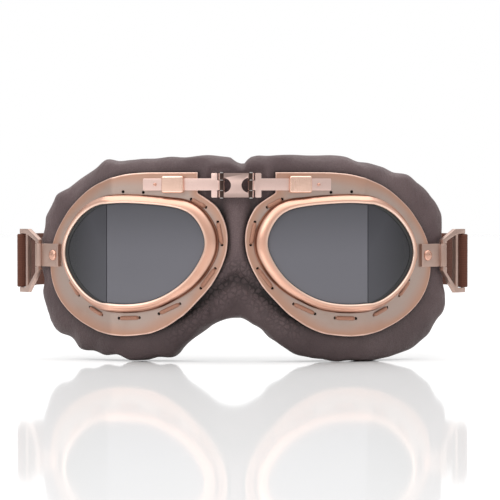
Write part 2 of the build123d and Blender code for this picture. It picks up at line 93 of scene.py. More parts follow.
def height_over_sheet(p):
    """How far the point p is in front of the sheet, and the sheet's outward normal there."""
    x = abs(p[0])
    if (x - BEND_X) * math.cos(MID) + (p[1] - BEND_Y) * math.sin(MID) < 0:
        n = (math.sin(TILT), -math.cos(TILT))
    else:
        n = (math.sin(SWEEP), -math.cos(SWEEP))
    t = (x - BEND_X) * n[0] + (p[1] - BEND_Y) * n[1]
    return t, Vector((math.copysign(n[0], p[0]), n[1], 0))


print("bend at", round(BEND_U, 4))

# %% [markdown]
# A product shot of something this small is taken from a good way off with a long lens, so that
# the nose and the temples keep their true sizes.  The camera looks slightly from the right.

# %% Camera
AIM = Vector((0.0047, -0.035, 0.0484))
DISTANCE = 1.4
camera_data = bpy.data.cameras.new("camera")
camera_data.lens = 227
camera_data.sensor_width = 36
camera = bpy.data.objects.new("camera", camera_data)
bpy.context.scene.collection.objects.link(camera)
azimuth, elevation = math.radians(2.1), math.radians(0.8)
back = Vector((
    math.sin(azimuth) * math.cos(elevation),
    -math.cos(azimuth) * math.cos(elevation),
    math.sin(elevation),
))
camera.location = AIM + back * DISTANCE
camera.rotation_euler = (-back).to_track_quat("-Z", "Y").to_euler()
bpy.context.scene.camera = camera
bpy.context.scene.view_settings.view_transform = "Standard"
print("camera at", tuple(round(c, 3) for c in camera.location))

# %% [markdown]
# Shader nodes are easier to read as sums than as boxes.  The small class below wraps an output
# socket, so that `1 - mask * 0.5` adds the Math nodes by itself, and its method `node` adds any
# other node to the same tree.  The other methods are the few nodes that every finish here uses.

# %% Shader helper


class Wire:
    """An output socket that can be used in sums, and that adds nodes to its tree."""

    def __init__(self, tree, socket=None):
        self.tree, self.socket = tree, socket

    def node(self, kind, settings=None, values=None, out=0):
        """Adds a node: settings first, then the values or links of its inputs."""
        n = self.tree.nodes.new(kind)
        for key, value in (settings or {}).items():
            setattr(n, key, value)
        for key, value in (values or {}).items():
            if isinstance(value, Wire):
                self.tree.links.new(value.socket, n.inputs[key])
            else:
                n.inputs[key].default_value = value
        return Wire(self.tree, n.outputs[out])

    def other(self, out):
        """Another output of the same node."""
        return Wire(self.tree, self.socket.node.outputs[out])

    def math(self, operation, *values):
        return self.node("ShaderNodeMath", {"operation": operation}, dict(enumerate(values)))

    def __add__(self, other):
        return self.math("ADD", self, other)

    def __sub__(self, other):
        return self.math("SUBTRACT", self, other)

    def __mul__(self, other):
        return self.math("MULTIPLY", self, other)

    def __rsub__(self, other):
        return self.math("SUBTRACT", other, self)

    __radd__ = __add__
    __rmul__ = __mul__

    def blend(self, first, second):
        """From the first colour to the second by this amount."""
        rgba = [c if isinstance(c, Wire) else (*c, 1) for c in (first, second)]
        return self.node("ShaderNodeMix", {"data_type": "RGBA", "clamp_factor": True},
                         {0: self, 6: rgba[0], 7: rgba[1]}, out=2)

    def step(self, low, high):
        """0 below low, 1 above high, smooth between."""
        return self.node("ShaderNodeMapRange", {"interpolation_type": "SMOOTHSTEP"},
                         {0: self, 1: low, 2: high, 3: 0.0, 4: 1.0})

    def noise(self, scale, detail=3.0, rough=0.5):
        return self.node("ShaderNodeTexNoise", {}, {"Vector": self, "Scale": scale,
                                                    "Detail": detail, "Roughness": rough})

    def stretched(self, scale):
        """Coordinates stretched by a scale for each axis."""
        return self.node("ShaderNodeMapping", {}, {"Vector": self, "Scale": scale})

    def parts(self):
        """X of a vector; `other` gives Y and Z."""
        return self.node("ShaderNodeSeparateXYZ", {}, {"Vector": self})

    def attribute(self, name):
        """A number stored on the points of the piece."""
        return self.node("ShaderNodeAttribute", {"attribute_name": name}, out=2)

    def bump(self, distance, strength, under=None):
        values = {"Height": self, "Distance": distance, "Strength": strength}
        if under is not None:
            values["Normal"] = under
        return self.node("ShaderNodeBump", {}, values)


def finish(name, constants):
    """A new material, its Principled shader, and a wire of object coordinates."""
    m = bpy.data.materials.new(name)
    m.use_nodes = True
    shader = m.node_tree.nodes["Principled BSDF"]
    for key, value in constants.items():
        shader.inputs[key].default_value = value
    return m, shader, Wire(m.node_tree).node("ShaderNodeTexCoord", out=3)


def feed(shader, **wires):
    """Links wires to the shader's sockets; an underscore in a name stands for a space."""
    for key, wire in wires.items():
        wire.tree.links.new(wire.socket, shader.inputs[key.replace("_", " ")])


print("helpers ready")

# %% [markdown]
# ** Antique copper.** The metal is steel with a copper plate that has been darkened brown and then
# rubbed back, so some places are pink and bright and others brown.  Two noises are enough for that:
# a broad one moves the colour between bright and brown, a very long thin one gives the brushing, in
# both the roughness and a shallow bump.  Numbers stored on the points add browning towards the
# frames' rims, painted shade in the bezels' grooves and on the hinge knuckles, and a painted
# highlight, with polish, along lips and edges.

# %% Metal finishes


def copper(name, bright, brown, rough, brown_share, brush=(60, 60, 900), browning_and_shade=None,
           polish_and_highlight=None):
    m, shader, where = finish(name, {"Metallic": 1.0})
    cloud = where.noise(70.0, 4.0).step(0.66 - brown_share, 1.10 - brown_share)
    lines = where.stretched(brush).noise(9.0, 1.0)
    specks = where.noise(1500.0, 2.0).step(0.60, 0.75)
    colour = (cloud * 0.8).blend(bright, brown)
    colour = (specks * 0.25).blend(colour, brown)
    # Stored numbers blend their tints in: browning on the flange, painted shade on the bezel and
    # the bridge, then polish with a painted highlight.
    for stored, tint in filter(None, (browning_and_shade, polish_and_highlight)):
        colour = where.attribute(stored).blend(colour, tint)
    feed(shader, Base_Color=colour, Roughness=lines * 0.16 + cloud * 0.08 + (rough - 0.08),
         Normal=lines.bump(0.00003, 0.22))
    return m


# Stored numbers: on the flange, browning towards the rim, the copper's own colour, and polish with
# a painted highlight on the edge; on the bezel, painted shade in the hollows and polish with a
# painted highlight on the lip; on the bridge, painted shade on the hinge knuckles.
flange_metal = copper("flange_copper", (0.50, 0.385, 0.335), (0.44, 0.30, 0.235), 0.38, 0.20,
                      brush=(10, 10, 700),
                      browning_and_shade=("rim", (0.56, 0.30, 0.205)), polish_and_highlight=("edge", (0.86, 0.60, 0.50)))
bezel_metal = copper("bezel_copper", (0.77, 0.445, 0.33), (0.60, 0.31, 0.21), 0.34, 0.12,
                     brush=(260, 260, 260),
                     browning_and_shade=("hollow", (0.17, 0.065, 0.038)), polish_and_highlight=("lip", (0.95, 0.70, 0.58)))
bridge_metal = copper("bridge_copper", (0.84, 0.61, 0.545), (0.62, 0.41, 0.34), 0.32, 0.12,
                      brush=(10, 10, 900),
                      browning_and_shade=("hollow", (0.07, 0.045, 0.038)))
keeper_metal = copper("keeper_copper", (0.97, 0.66, 0.53), (0.80, 0.49, 0.37), 0.24, 0.10,
                      brush=(900, 900, 12))
plate_metal = copper("plate_copper", (0.50, 0.355, 0.30), (0.38, 0.235, 0.18), 0.40, 0.22,
                     brush=(10, 10, 900))
rivet_metal = copper("rivet_copper", (0.72, 0.42, 0.32), (0.45, 0.22, 0.15), 0.26, 0.12)


def steel_finish():
    m, shader, where = finish("pin_steel", {"Metallic": 1.0})
    lines = where.stretched((900, 900, 60)).noise(5.0)
    feed(shader, Base_Color=lines.blend((0.50, 0.48, 0.47), (0.78, 0.76, 0.74)),
         Roughness=lines * 0.2 + 0.2)
    return m


pin_metal = steel_finish()
print("metals", [m.name for m in (flange_metal, bezel_metal, bridge_metal)])

# %% [markdown]
# ** Smoke glass.** The panes are dyed through, so what is behind them hardly shows. A near-opaque
# base under a sharp gloss stands for this at any angle, and its colour is painted light: the front
# pane's grey is the bright backdrop seen through the glass, the side pane is a darker copy for the
# dark eye cup behind it, and both get painted shade towards the temple and the top.

# %% Glass and rubber


def smoke_glass(name, tint, shade_from, shade_to):
    m, shader, where = finish(name, {"Roughness": 0.05, "IOR": 1.45, "Alpha": 0.96})
    across = where.parts()
    # Painted shade: darker towards the temple edge and towards the top of the pane.
    edge = across.math("ABSOLUTE", across).step(shade_from, shade_to)
    top = across.other(2).step(0.044, 0.074)
    shade = edge.math("MAXIMUM", edge, top * 0.45)
    colour = (shade * 0.93).blend(tint, (0.012, 0.012, 0.013))
    feed(shader, Base_Color=(where.noise(25.0, 1.0) * 0.15).blend(colour, (0.05, 0.05, 0.055)))
    return m


# The front pane's grey is painted light from the backdrop behind it; the side pane is a darker
# copy, painted shade for the eye cup behind it.
front_glass = smoke_glass("smoke_front", (0.158, 0.155, 0.176), 0.090, 0.095)
side_glass = smoke_glass("smoke_side", (0.068, 0.067, 0.079), 0.0560, 0.0800)


def rubber_finish():
    m, shader, where = finish("gasket_rubber", {"Roughness": 0.6})
    grain = where.noise(2500.0)
    feed(shader, Base_Color=grain.blend((0.010, 0.010, 0.010), (0.03, 0.03, 0.03)),
         Normal=grain.bump(0.00005, 0.4))
    return m


gasket_rubber = rubber_finish()
print("glass and rubber ready")

# %% [markdown]
# **Leather.**  Soft garment leather has cells about a millimetre across with fine pores between
# them, and long creases where it is gathered.  A Voronoi pattern gives the cells, two noises the
# pores and creases.  The colour is a grey brown, a little redder on the crests.

# %% Leather, lining and webbing


def leather_finish(name, crest, hollow):
    m, shader, where = finish(name, {
        "Specular IOR Level": 0.35, "Sheen Weight": 0.12, "Sheen Roughness": 0.4,
        "Sheen Tint": (0.75, 0.66, 0.62, 1),
    })
    warp = where.noise(420.0, 2.0).other(1)
    moved = where.node("ShaderNodeVectorMath", {"operation": "MULTIPLY_ADD"},
                       {0: warp, 1: (0.0008, 0.0008, 0.0008), 2: where})

    def cells(scale):
        return where.node("ShaderNodeTexVoronoi", {"feature": "DISTANCE_TO_EDGE"},
                          {"Vector": moved, "Scale": scale})

    grain = cells(1150.0).step(0.0, 0.22)
    pores = where.noise(3800.0, 2.0)
    creases = where.stretched((1.0, 1.0, 0.45)).noise(150.0, 4.0, 0.6)
    patches = where.noise(26.0, 3.0)
    cracks = (1 - cells(430.0).step(0.02, 0.26)) * where.attribute("wrinkled")
    tone = patches.step(0.35, 0.7).blend(hollow, crest)
    tone = (grain * 0.35 + 0.65).blend(hollow, tone)
    # Painted shade from the 'pressed' number darkens the colour beside the metal, towards the
    # bottom and in the nose's creases; the cracks add their own dark lines.
    tone = (where.attribute("pressed") + cracks * 0.42).blend(tone, (0.012, 0.008, 0.0075))
    soft = (creases - cracks * 0.35).bump(0.0018, 0.6)
    fine = (grain * 0.8 + pores * 0.2).bump(0.00011, 0.75, soft)
    feed(shader, Base_Color=tone, Roughness=0.70 - grain * 0.12 - patches * 0.08, Normal=fine)
    return m


leather = leather_finish("goggle_leather", (0.150, 0.104, 0.105), (0.088, 0.057, 0.059))


def lining_finish():
    m, shader, where = finish("pad_lining_fabric", {
        "Roughness": 0.95, "Sheen Weight": 0.35, "Sheen Roughness": 0.5,
    })
    nap = where.noise(1800.0)
    feed(shader, Base_Color=nap.blend((0.012, 0.011, 0.011), (0.045, 0.040, 0.038)),
         Normal=nap.bump(0.0003, 0.6))
    return m


lining = lining_finish()


def webbing_finish():
    """Ribs along the strap's own UV map: u is metres along it, v metres across it."""
    m, shader, where = finish("strap_webbing", {
        "Roughness": 0.85, "Sheen Weight": 0.12, "Sheen Roughness": 0.4,
        "Sheen Tint": (0.8, 0.45, 0.35, 1),
    })
    along = where.node("ShaderNodeUVMap", {"uv_map": "weave"}).parts()

    def wave(value, pitch):
        return value.math("SINE", value * (math.tau / pitch)) * 0.5 + 0.5

    weave = wave(along.other(1), 0.0008) * 0.65 + wave(along, 0.0006) * 0.35
    fuzz = where.noise(2600.0, 2.0)
    colour = (weave * 0.5 + fuzz * 0.5).blend((0.058, 0.016, 0.008), (0.150, 0.045, 0.023))
    feed(shader, Base_Color=colour, Normal=(weave + fuzz * 0.5).bump(0.00014, 0.6))
    return m


webbing = webbing_finish()


def thread_finish(name, light, dark):
    m, shader, where = finish(name, {"Roughness": 0.5, "Sheen Weight": 0.1})
    strands = where.noise(2400.0, 2.0)
    feed(shader, Base_Color=strands.blend(dark, light), Normal=strands.bump(0.0001, 0.6))
    return m


lace = thread_finish("lace", (0.50, 0.245, 0.160), (0.27, 0.115, 0.070))
seam_thread = thread_finish("seam_thread", (0.15, 0.06, 0.04), (0.06, 0.022, 0.014))
print("soft finishes ready")

# %% [markdown]
# The hard pieces that keep their CAD shape only need their material.

# %% Materials on the CAD pieces that stay


def dress(names, material):
    for name in names:
        mesh = nodes[name].data
        mesh.materials.clear()
        mesh.materials.append(material)


SIDES = (("_l", -1), ("_r", 1))
for tail, _ in SIDES:
    dress(["lens_front" + tail], front_glass)
    dress(["lens_side" + tail], side_glass)
    dress(["stop_nub" + tail], rivet_metal)
dress(["hinge_pins"], pin_metal)
print("dressed")

# %% [markdown]
# The metal's outline is needed twice: to build the frames, and to keep the leather behind them.
# In sheet coordinates (along, height, depth) it is flat, so "how far outside the metal" is a
# distance to a polygon.

# %% Where the metal is
FLANGE = [
    (17.1, 73.6), (17.1, 82.6), (38.0, 82.6), (45.0, 82.3), (52.0, 81.4), (65.0, 77.8),
    (72.5, 74.7), (79.0, 70.9), (85.0, 66.6), (90.0, 61.6), (94.0, 56.7), (96.8, 51.5),
    (98.5, 46.0), (98.6, 41.0), (97.8, 36.0), (95.6, 31.0), (92.2, 26.5), (87.6, 22.6),
    (82.5, 19.4), (76.5, 16.6), (70.0, 14.3), (63.0, 12.4), (51.0, 11.0), (40.5, 11.9),
    (35.5, 13.3), (30.6, 15.6), (26.0, 18.6), (21.6, 22.0), (12.9, 31.1), (9.2, 36.3),
    (6.4, 41.6), (4.5, 46.8), (3.7, 52.1), (3.9, 56.6), (5.0, 61.0), (6.9, 65.1), (9.6, 68.6),
]
FLANGE = np.array(FLANGE) / 1000


def sheet_coords(p):
    """(along, height, depth) of points, for either side."""
    x, y = np.abs(p[:, 0]), p[:, 1]
    near = (x - BEND_X) * math.cos(MID) + (y - BEND_Y) * math.sin(MID) < 0
    angle = np.where(near, TILT, SWEEP)
    dx, dy = x - BEND_X, y - BEND_Y
    u = BEND_U + dx * np.cos(angle) + dy * np.sin(angle)
    t = dx * np.sin(angle) - dy * np.cos(angle)
    return np.stack([u, p[:, 2], t], axis=1)


def beyond(outline, q):
    """Distance outside a closed outline, negative inside."""
    a, b = outline, np.roll(outline, -1, 0)
    best = np.full(len(q), 9.0)
    inside = np.zeros(len(q), bool)
    for (ax, ay), (bx, by) in zip(a, b):
        d = np.array([bx - ax, by - ay])
        w = q - np.array([ax, ay])
        k = np.clip((w @ d) / (d @ d), 0, 1)
        best = np.minimum(best, np.hypot(*(w - k[:, None] * d).T))
        crosses = (ay > q[:, 1]) != (by > q[:, 1])
        slope = (bx - ax) / (by - ay) if by != ay else 0.0
        inside ^= crosses & (q[:, 0] < ax + slope * (q[:, 1] - ay))
    return np.where(inside, -best, best)


def smooth(value, low, high):
    k = np.clip((value - low) / (high - low), 0, 1)
    return k * k * (3 - 2 * k)


# %% Points of a mesh as arrays


def coords(mesh):
    co = np.empty(len(mesh.vertices) * 3)
    mesh.vertices.foreach_get("co", co)
    return co.reshape(-1, 3)


def normals(mesh):
    no = np.empty(len(mesh.vertices) * 3)
    mesh.vertices.foreach_get("normal", no)
    return no.reshape(-1, 3)


def set_coords(mesh, co):
    mesh.vertices.foreach_set("co", np.asarray(co).ravel())
    mesh.update()


def edge_array(mesh):
    e = np.empty(len(mesh.edges) * 2, int)
    mesh.edges.foreach_get("vertices", e)
    return e.reshape(-1, 2)


def new_object(name, mesh, materials):
    for m in materials:
        mesh.materials.append(m)
    o = bpy.data.objects.new(name, mesh)
    bpy.context.scene.collection.objects.link(o)
    return o


def baked(o):
    """The object's evaluated mesh as a plain mesh, with its modifiers removed."""
    dg = bpy.context.evaluated_depsgraph_get()
    mesh = bpy.data.meshes.new_from_object(o.evaluated_get(dg))
    old = o.data
    o.modifiers.clear()
    o.data = mesh
    bpy.data.meshes.remove(old)
    return o


def drop(o):
    mesh = o.data
    bpy.data.objects.remove(o)
    bpy.data.meshes.remove(mesh)


def store(mesh, name, values):
    """A number on every point, for the material to read."""
    a = mesh.attributes.new(name, "FLOAT", "POINT")
    a.data.foreach_set("value", np.asarray(values, float).ravel())


def shaded(mesh, angle):
    """Smooth shading that breaks at edges sharper than the angle, in degrees."""
    mesh.polygons.foreach_set("use_smooth", [True] * len(mesh.polygons))
    mesh.set_sharp_from_angle(angle=math.radians(angle))


def stand_in(o, body, node_name):
    """The piece rides on its body in place of a piece of the fixed model, which is hidden."""
    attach(o, body)
    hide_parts(node_name)


def spline(p0, p1, p2, p3, f):
    """The smooth curve between p1 and p2 that heads for p0 and p3; f runs from 0 to 1."""
    return 0.5 * (2 * p1 + (p2 - p0) * f + (2 * p0 - 5 * p1 + 4 * p2 - p3) * f**2
                  + (3 * p1 - p0 - 3 * p2 + p3) * f**3)


print("array helpers ready")

# %% [markdown]
# Stamped and cast pieces never have knife edges.  A copy of the CAD piece, with its triangles
# joined back into flat faces and a small Bevel, catches a thin line of light along each edge.

# %% Stamped pieces with softened edges


def softened(node_name, body, material, width):
    bm = bmesh.new()
    bm.from_mesh(nodes[node_name].data)
    bmesh.ops.remove_doubles(bm, verts=bm.verts, dist=1e-6)
    bmesh.ops.dissolve_limit(bm, angle_limit=math.radians(0.8), verts=bm.verts, edges=bm.edges)
    mesh = bpy.data.meshes.new(node_name + "_soft")
    bm.to_mesh(mesh)
    bm.free()
    mesh.materials.clear()
    o = new_object(node_name + "_soft", mesh, [material])
    b = o.modifiers.new("edges", "BEVEL")
    b.width, b.segments, b.limit_method = width, 3, "ANGLE"
    b.angle_limit = math.radians(35)
    baked(o)
    shaded(o.data, 50)
    x = np.abs(coords(o.data)[:, 0])
    # Painted shade: on the bridge pieces the hinge knuckles, which sit in shadow, are darkened;
    # other pieces get none.
    knuckle_shade = smooth(x, 0.0052, 0.0055) * (1 - smooth(x, 0.0070, 0.0073))
    store(o.data, "hollow", knuckle_shade if material is bridge_metal else x * 0)
    stand_in(o, body, node_name)


softened("bridge_link", "bridge", bridge_metal, 0.00025)
softened("strap_slider", "slider", plate_metal, 0.0003)
for tail, _ in SIDES:
    for piece, body, material, width in (
            ("bridge_arm", "arm", bridge_metal, 0.0002), ("keeper", "eye", keeper_metal, 0.0002),
            ("temple_plate", "eye", plate_metal, 0.0002),
            ("strap_loop", "loop", plate_metal, 0.0003)):
        softened(piece + tail, body + tail, material, width)
print("softened pieces made")

# %% [markdown]
# **Bezels.**  The ring that clamps the glass has a bright inner lip, a face that slopes outwards
# and a rolled outer edge.  It is one profile carried round the outline of the opening, so it is
# built as a grid: the outline gives the columns, the profile the rows.

# %% Bezel rings
OPENING = [
    (13.1, 53.0), (15.3, 44.5), (20.6, 37.0), (28.0, 31.0), (37.0, 26.8), (47.0, 25.2),
    (57.5, 25.7), (66.5, 28.4), (75.5, 34.2), (82.0, 42.5), (82.6, 51.0), (76.5, 59.8),
    (66.5, 66.2), (54.5, 69.0), (40.5, 68.8), (27.6, 67.4), (18.6, 63.6),
]
BEZEL_W, NASAL_EXTRA, GRIP = 0.0040, 0.0016, 0.0026
ROUND = 220


def closed_curve(points, count):
    """A smooth closed curve through a few points, as points and outward normals."""
    p = np.array(points, float) / 1000
    n = len(p)
    chord = np.sqrt(np.linalg.norm(np.roll(p, -1, 0) - p, axis=1))
    knots = np.concatenate([[0], np.cumsum(chord)])
    # A periodic cubic: solve for the slopes that make the curvature continuous.
    h = chord
    a = np.zeros((n, n))
    rhs = np.zeros((n, 2))
    for i in range(n):
        before, after = (i - 1) % n, (i + 1) % n
        a[i, before] = 1 / h[before]
        a[i, i] = 2 / h[before] + 2 / h[i]
        a[i, after] = 1 / h[i]
        rhs[i] = 3 * ((p[i] - p[before]) / h[before] ** 2 + (p[after] - p[i]) / h[i] ** 2)
    slope = np.linalg.solve(a, rhs)
    at = np.linspace(0, knots[-1], count * 4, endpoint=False)
    seg = np.clip(np.searchsorted(knots, at, "right") - 1, 0, n - 1)
    s = ((at - knots[seg]) / h[seg])[:, None]
    nxt = (seg + 1) % n
    hh = h[seg][:, None]
    c = ((2 * s**3 - 3 * s**2 + 1) * p[seg] + (s**3 - 2 * s**2 + s) * hh * slope[seg]
         + (3 * s**2 - 2 * s**3) * p[nxt] + (s**3 - s**2) * hh * slope[nxt])
    # Even spacing by length.
    steps = np.linalg.norm(np.roll(c, -1, 0) - c, axis=1)
    length = np.concatenate([[0], np.cumsum(steps)])
    want = np.linspace(0, length[-1], count, endpoint=False)
    ring = np.vstack([c, c[:1]])
    even = np.stack([np.interp(want, length, ring[:, k]) for k in (0, 1)], axis=1)
    d = np.roll(even, -1, 0) - np.roll(even, 1, 0)
    d /= np.linalg.norm(d, axis=1)[:, None]
    return even, np.stack([d[:, 1], -d[:, 0]], axis=1)


rim_line, rim_out = closed_curve(OPENING, ROUND)


def bezel_width(u):
    return BEZEL_W + NASAL_EXTRA * max(0.0, (0.030 - u) / 0.017)


# Each row: share of the bezel's width, extra margin in metres, height above the sheet.
BEZEL_ROWS = [
    (0.0, 0.0001, 0.0041), (0.0, 0.0, 0.0046), (0.0, 0.00012, 0.0051), (0.0, 0.0005, 0.0054),
    (0.0, 0.0010, 0.0055), (0.0, 0.0016, 0.00542), (0.45, 0.0, 0.0051), (0.65, 0.0, 0.0045),
    (0.80, 0.0, 0.0038), (0.86, 0.0, 0.0033), (0.885, 0.0, 0.0029), (0.90, 0.0, 0.0024),
    (0.95, 0.0, 0.00215), (0.985, 0.0, 0.0019), (1.0, 0.0, 0.0015), (1.0, 0.0, 0.0010),
]
INNER_ROWS = [(0.0, GRIP, 0.0010), (0.0, GRIP, 0.0040), (0.0, 0.0012, 0.00402)]


def grid_mesh(name, rows, closed_rows=True, closed_columns=True, capped=False):
    """A mesh from rows of points: a quad between each four neighbours; capped closes its ends."""
    r, c = len(rows), len(rows[0])
    verts = [tuple(v) for row in rows for v in row]
    faces = []
    for i in range(r if closed_rows else r - 1):
        for j in range(c if closed_columns else c - 1):
            k, m = (i + 1) % r, (j + 1) % c
            faces.append((i * c + j, i * c + m, k * c + m, k * c + j))
    mesh = bpy.data.meshes.new(name)
    mesh.from_pydata(verts, [], faces)
    mesh.polygons.foreach_set("use_smooth", [True] * len(faces))
    bm = bmesh.new()
    bm.from_mesh(mesh)
    if capped:
        bmesh.ops.holes_fill(bm, edges=[e for e in bm.edges if e.is_boundary], sides=0)
    bmesh.ops.recalc_face_normals(bm, faces=bm.faces)
    bm.to_mesh(mesh)
    bm.free()
    return mesh


# Painted shade and painted highlight on each row of the bezel: shade in the groove and down the
# outer wall, highlight with polish along the inner lip.
BEZEL_SHADE_ROWS = [0, 0, 0, 0, 0, 0, 0, 0, 0.15, 0.55, 0.85, 1.0, 0.75, 0.55, 0.8, 1.0, 1.0, 1.0, 0.6]
BEZEL_POLISH_AND_HIGHLIGHT_ROWS = [0.6, 1.0, 1.0, 0.7, 0.2, 0, 0, 0.1, 0.25, 0, 0, 0, 0, 0.1, 0, 0, 0, 0, 0]
for tail, side in SIDES:
    rows = []
    for share, extra, high in BEZEL_ROWS + INNER_ROWS:
        row = []
        for (u, z), (nu, nz) in zip(rim_line, rim_out):
            m = share * bezel_width(u) + extra
            row.append(sheet_point(u + m * nu, z + m * nz, high, side))
        rows.append(row)
    mesh = grid_mesh("bezel" + tail, rows)
    # Painted shade in the groove and down the outer wall; polish with a painted highlight along the
    # lip.
    store(mesh, "hollow", np.repeat(BEZEL_SHADE_ROWS, ROUND))
    store(mesh, "lip", np.repeat(BEZEL_POLISH_AND_HIGHLIGHT_ROWS, ROUND))
    o = new_object("bezel" + tail, mesh, [bezel_metal])
    shaded(mesh, 55)
    stand_in(o, "eye" + tail, "lens_rim" + tail)
print("bezels", ROUND, "columns,", len(BEZEL_ROWS + INNER_ROWS), "rows")

# %% [markdown]
# ** Gasket.** A black rubber channel holds the panes. From outside only its lip shows, thin by
# the nose and wide at the temple; the extra width at the temple is a dark band of painted shade for
# the corner between glass and bezel.

# %% Rubber gaskets


def lip_and_shade_width(u):
    return 0.00025 + 0.0014 * float(smooth(np.array(u), 0.050, 0.078))


# Each row: share of the lip's width, extra margin in metres, height above the sheet.
CHANNEL_ROWS = [(0, 0.0024, 0.0011), (0, 0.0024, 0.0020), (0, 0.0004, 0.0020), (0, 0.0004, 0.0011)]
LIP_ROWS = [(0, 0.0004, 0.00402), (-0.9, 0, 0.00402), (-1.0, 0, 0.00412),
            (-0.9, 0, 0.00424), (-0.4, 0, 0.0044), (0, 0.0004, 0.0045)]
for tail, side in SIDES:
    for name, profile in (("gasket", CHANNEL_ROWS), ("gasket_lip", LIP_ROWS)):
        rows = []
        for share, extra, high in profile:
            margins = [share * lip_and_shade_width(u) + extra for u, z in rim_line]
            rows.append([sheet_point(u + m * nu, z + m * nz, high, side)
                         for (u, z), (nu, nz), m in zip(rim_line, rim_out, margins)])
        o = new_object(name + tail, grid_mesh(name + tail, rows), [gasket_rubber])
        if name == "gasket":
            shaded(o.data, 40)
        stand_in(o, "eye" + tail, "lens_gasket" + tail)
print("gaskets made")

# %% [markdown]
# **Lens frames.**  Each frame is stamped from sheet in a teardrop outline and bent at the split
# of the glass.  It is built as rings between the opening and the outline, so that a number for
# the distance to the edge can be stored for the finish, and the lacing holes are cut by a
# Boolean.  The last rings roll over, because a stamped edge is polished round.

# %% The lacing places, read from the fixed model


def islands(mesh):
    """Groups of vertices that hang together, as arrays of coordinates."""
    co = np.array([v.co[:] for v in mesh.vertices])
    keys = {}
    index = np.empty(len(co), int)
    for i, c in enumerate(np.round(co * 1e6).astype(int)):
        index[i] = keys.setdefault(tuple(c), len(keys))
    parent = list(range(len(keys)))

    def top(i):
        while parent[i] != i:
            parent[i] = parent[parent[i]]
            i = parent[i]
        return i

    for e in mesh.edges:
        a, b = top(index[e.vertices[0]]), top(index[e.vertices[1]])
        parent[a] = b
    groups = {}
    for i in range(len(co)):
        groups.setdefault(top(index[i]), []).append(co[i])
    return [np.array(g) for g in groups.values()]


STITCH_W = 0.0013


def lacing_places(tail):
    """(middle on the metal, along, out, distance between the two holes) of each stitch."""
    spots = []
    for group in islands(nodes["lacing" + tail].data):
        middle = group.mean(axis=0)
        t, out = height_over_sheet(middle)
        flat = Vector((0, 0, 1)).cross(out).normalized()
        spread = np.stack([(group - middle) @ np.array(flat), group[:, 2] - middle[2]], axis=1)
        values, axes = np.linalg.eigh(spread.T @ spread)
        along = (flat * axes[0, 1] + Vector((0, 0, 1)) * axes[1, 1]).normalized()
        gap = float(np.ptp(spread @ axes[:, 1])) - STITCH_W
        spots.append((Vector(middle) + out * (0.0010 - t), along, out, gap))
    return spots


places = {tail: lacing_places(tail) for tail, _ in SIDES}
print("stitches on each side", [len(v) for v in places.values()])

# %% Frame rings
HOLE_R = 0.00068
CENTRE = np.array((0.050, 0.047))


def frame_columns():
    """Matching points of the opening and of the outline, with the corners kept."""
    outer = []
    n = len(FLANGE)
    for i in range(n):
        a, b = FLANGE[i], FLANGE[(i + 1) % n]
        if i in CORNERS or (i + 1) % n in CORNERS and i in STRAIGHT:
            curve = lambda f, a=a, b=b: a + (b - a) * f
        else:
            p0 = FLANGE[i - 1] if i not in CORNERS else a
            p3 = FLANGE[(i + 2) % n] if (i + 1) % n not in CORNERS else b
            curve = lambda f, p0=p0, a=a, b=b, p3=p3: spline(p0, a, b, p3, f)
        count = max(2, int(np.linalg.norm(b - a) / 0.0012))
        outer += [curve(k / count) for k in range(count)]
    outer = np.array(outer)
    line = rim_line + rim_out * 0.0005
    angles = np.arctan2(*(line - CENTRE).T[::-1])
    order = np.argsort(angles)
    angles, line = angles[order], line[order]
    angles = np.concatenate([angles - math.tau, angles, angles + math.tau])
    line = np.vstack([line] * 3)
    want = np.arctan2(*(outer - CENTRE).T[::-1])
    inner = np.stack([np.interp(want, angles, line[:, k]) for k in (0, 1)], axis=1)
    return inner, outer


CORNERS = {0, 1}
STRAIGHT = {0, 1}
BARE_HOLES = [(0.05082, 0.07416), (0.04165, 0.07387)]
inner, outer = frame_columns()
inward = inner - outer
reach = np.linalg.norm(inward, axis=1)[:, None]
inward = inward / reach
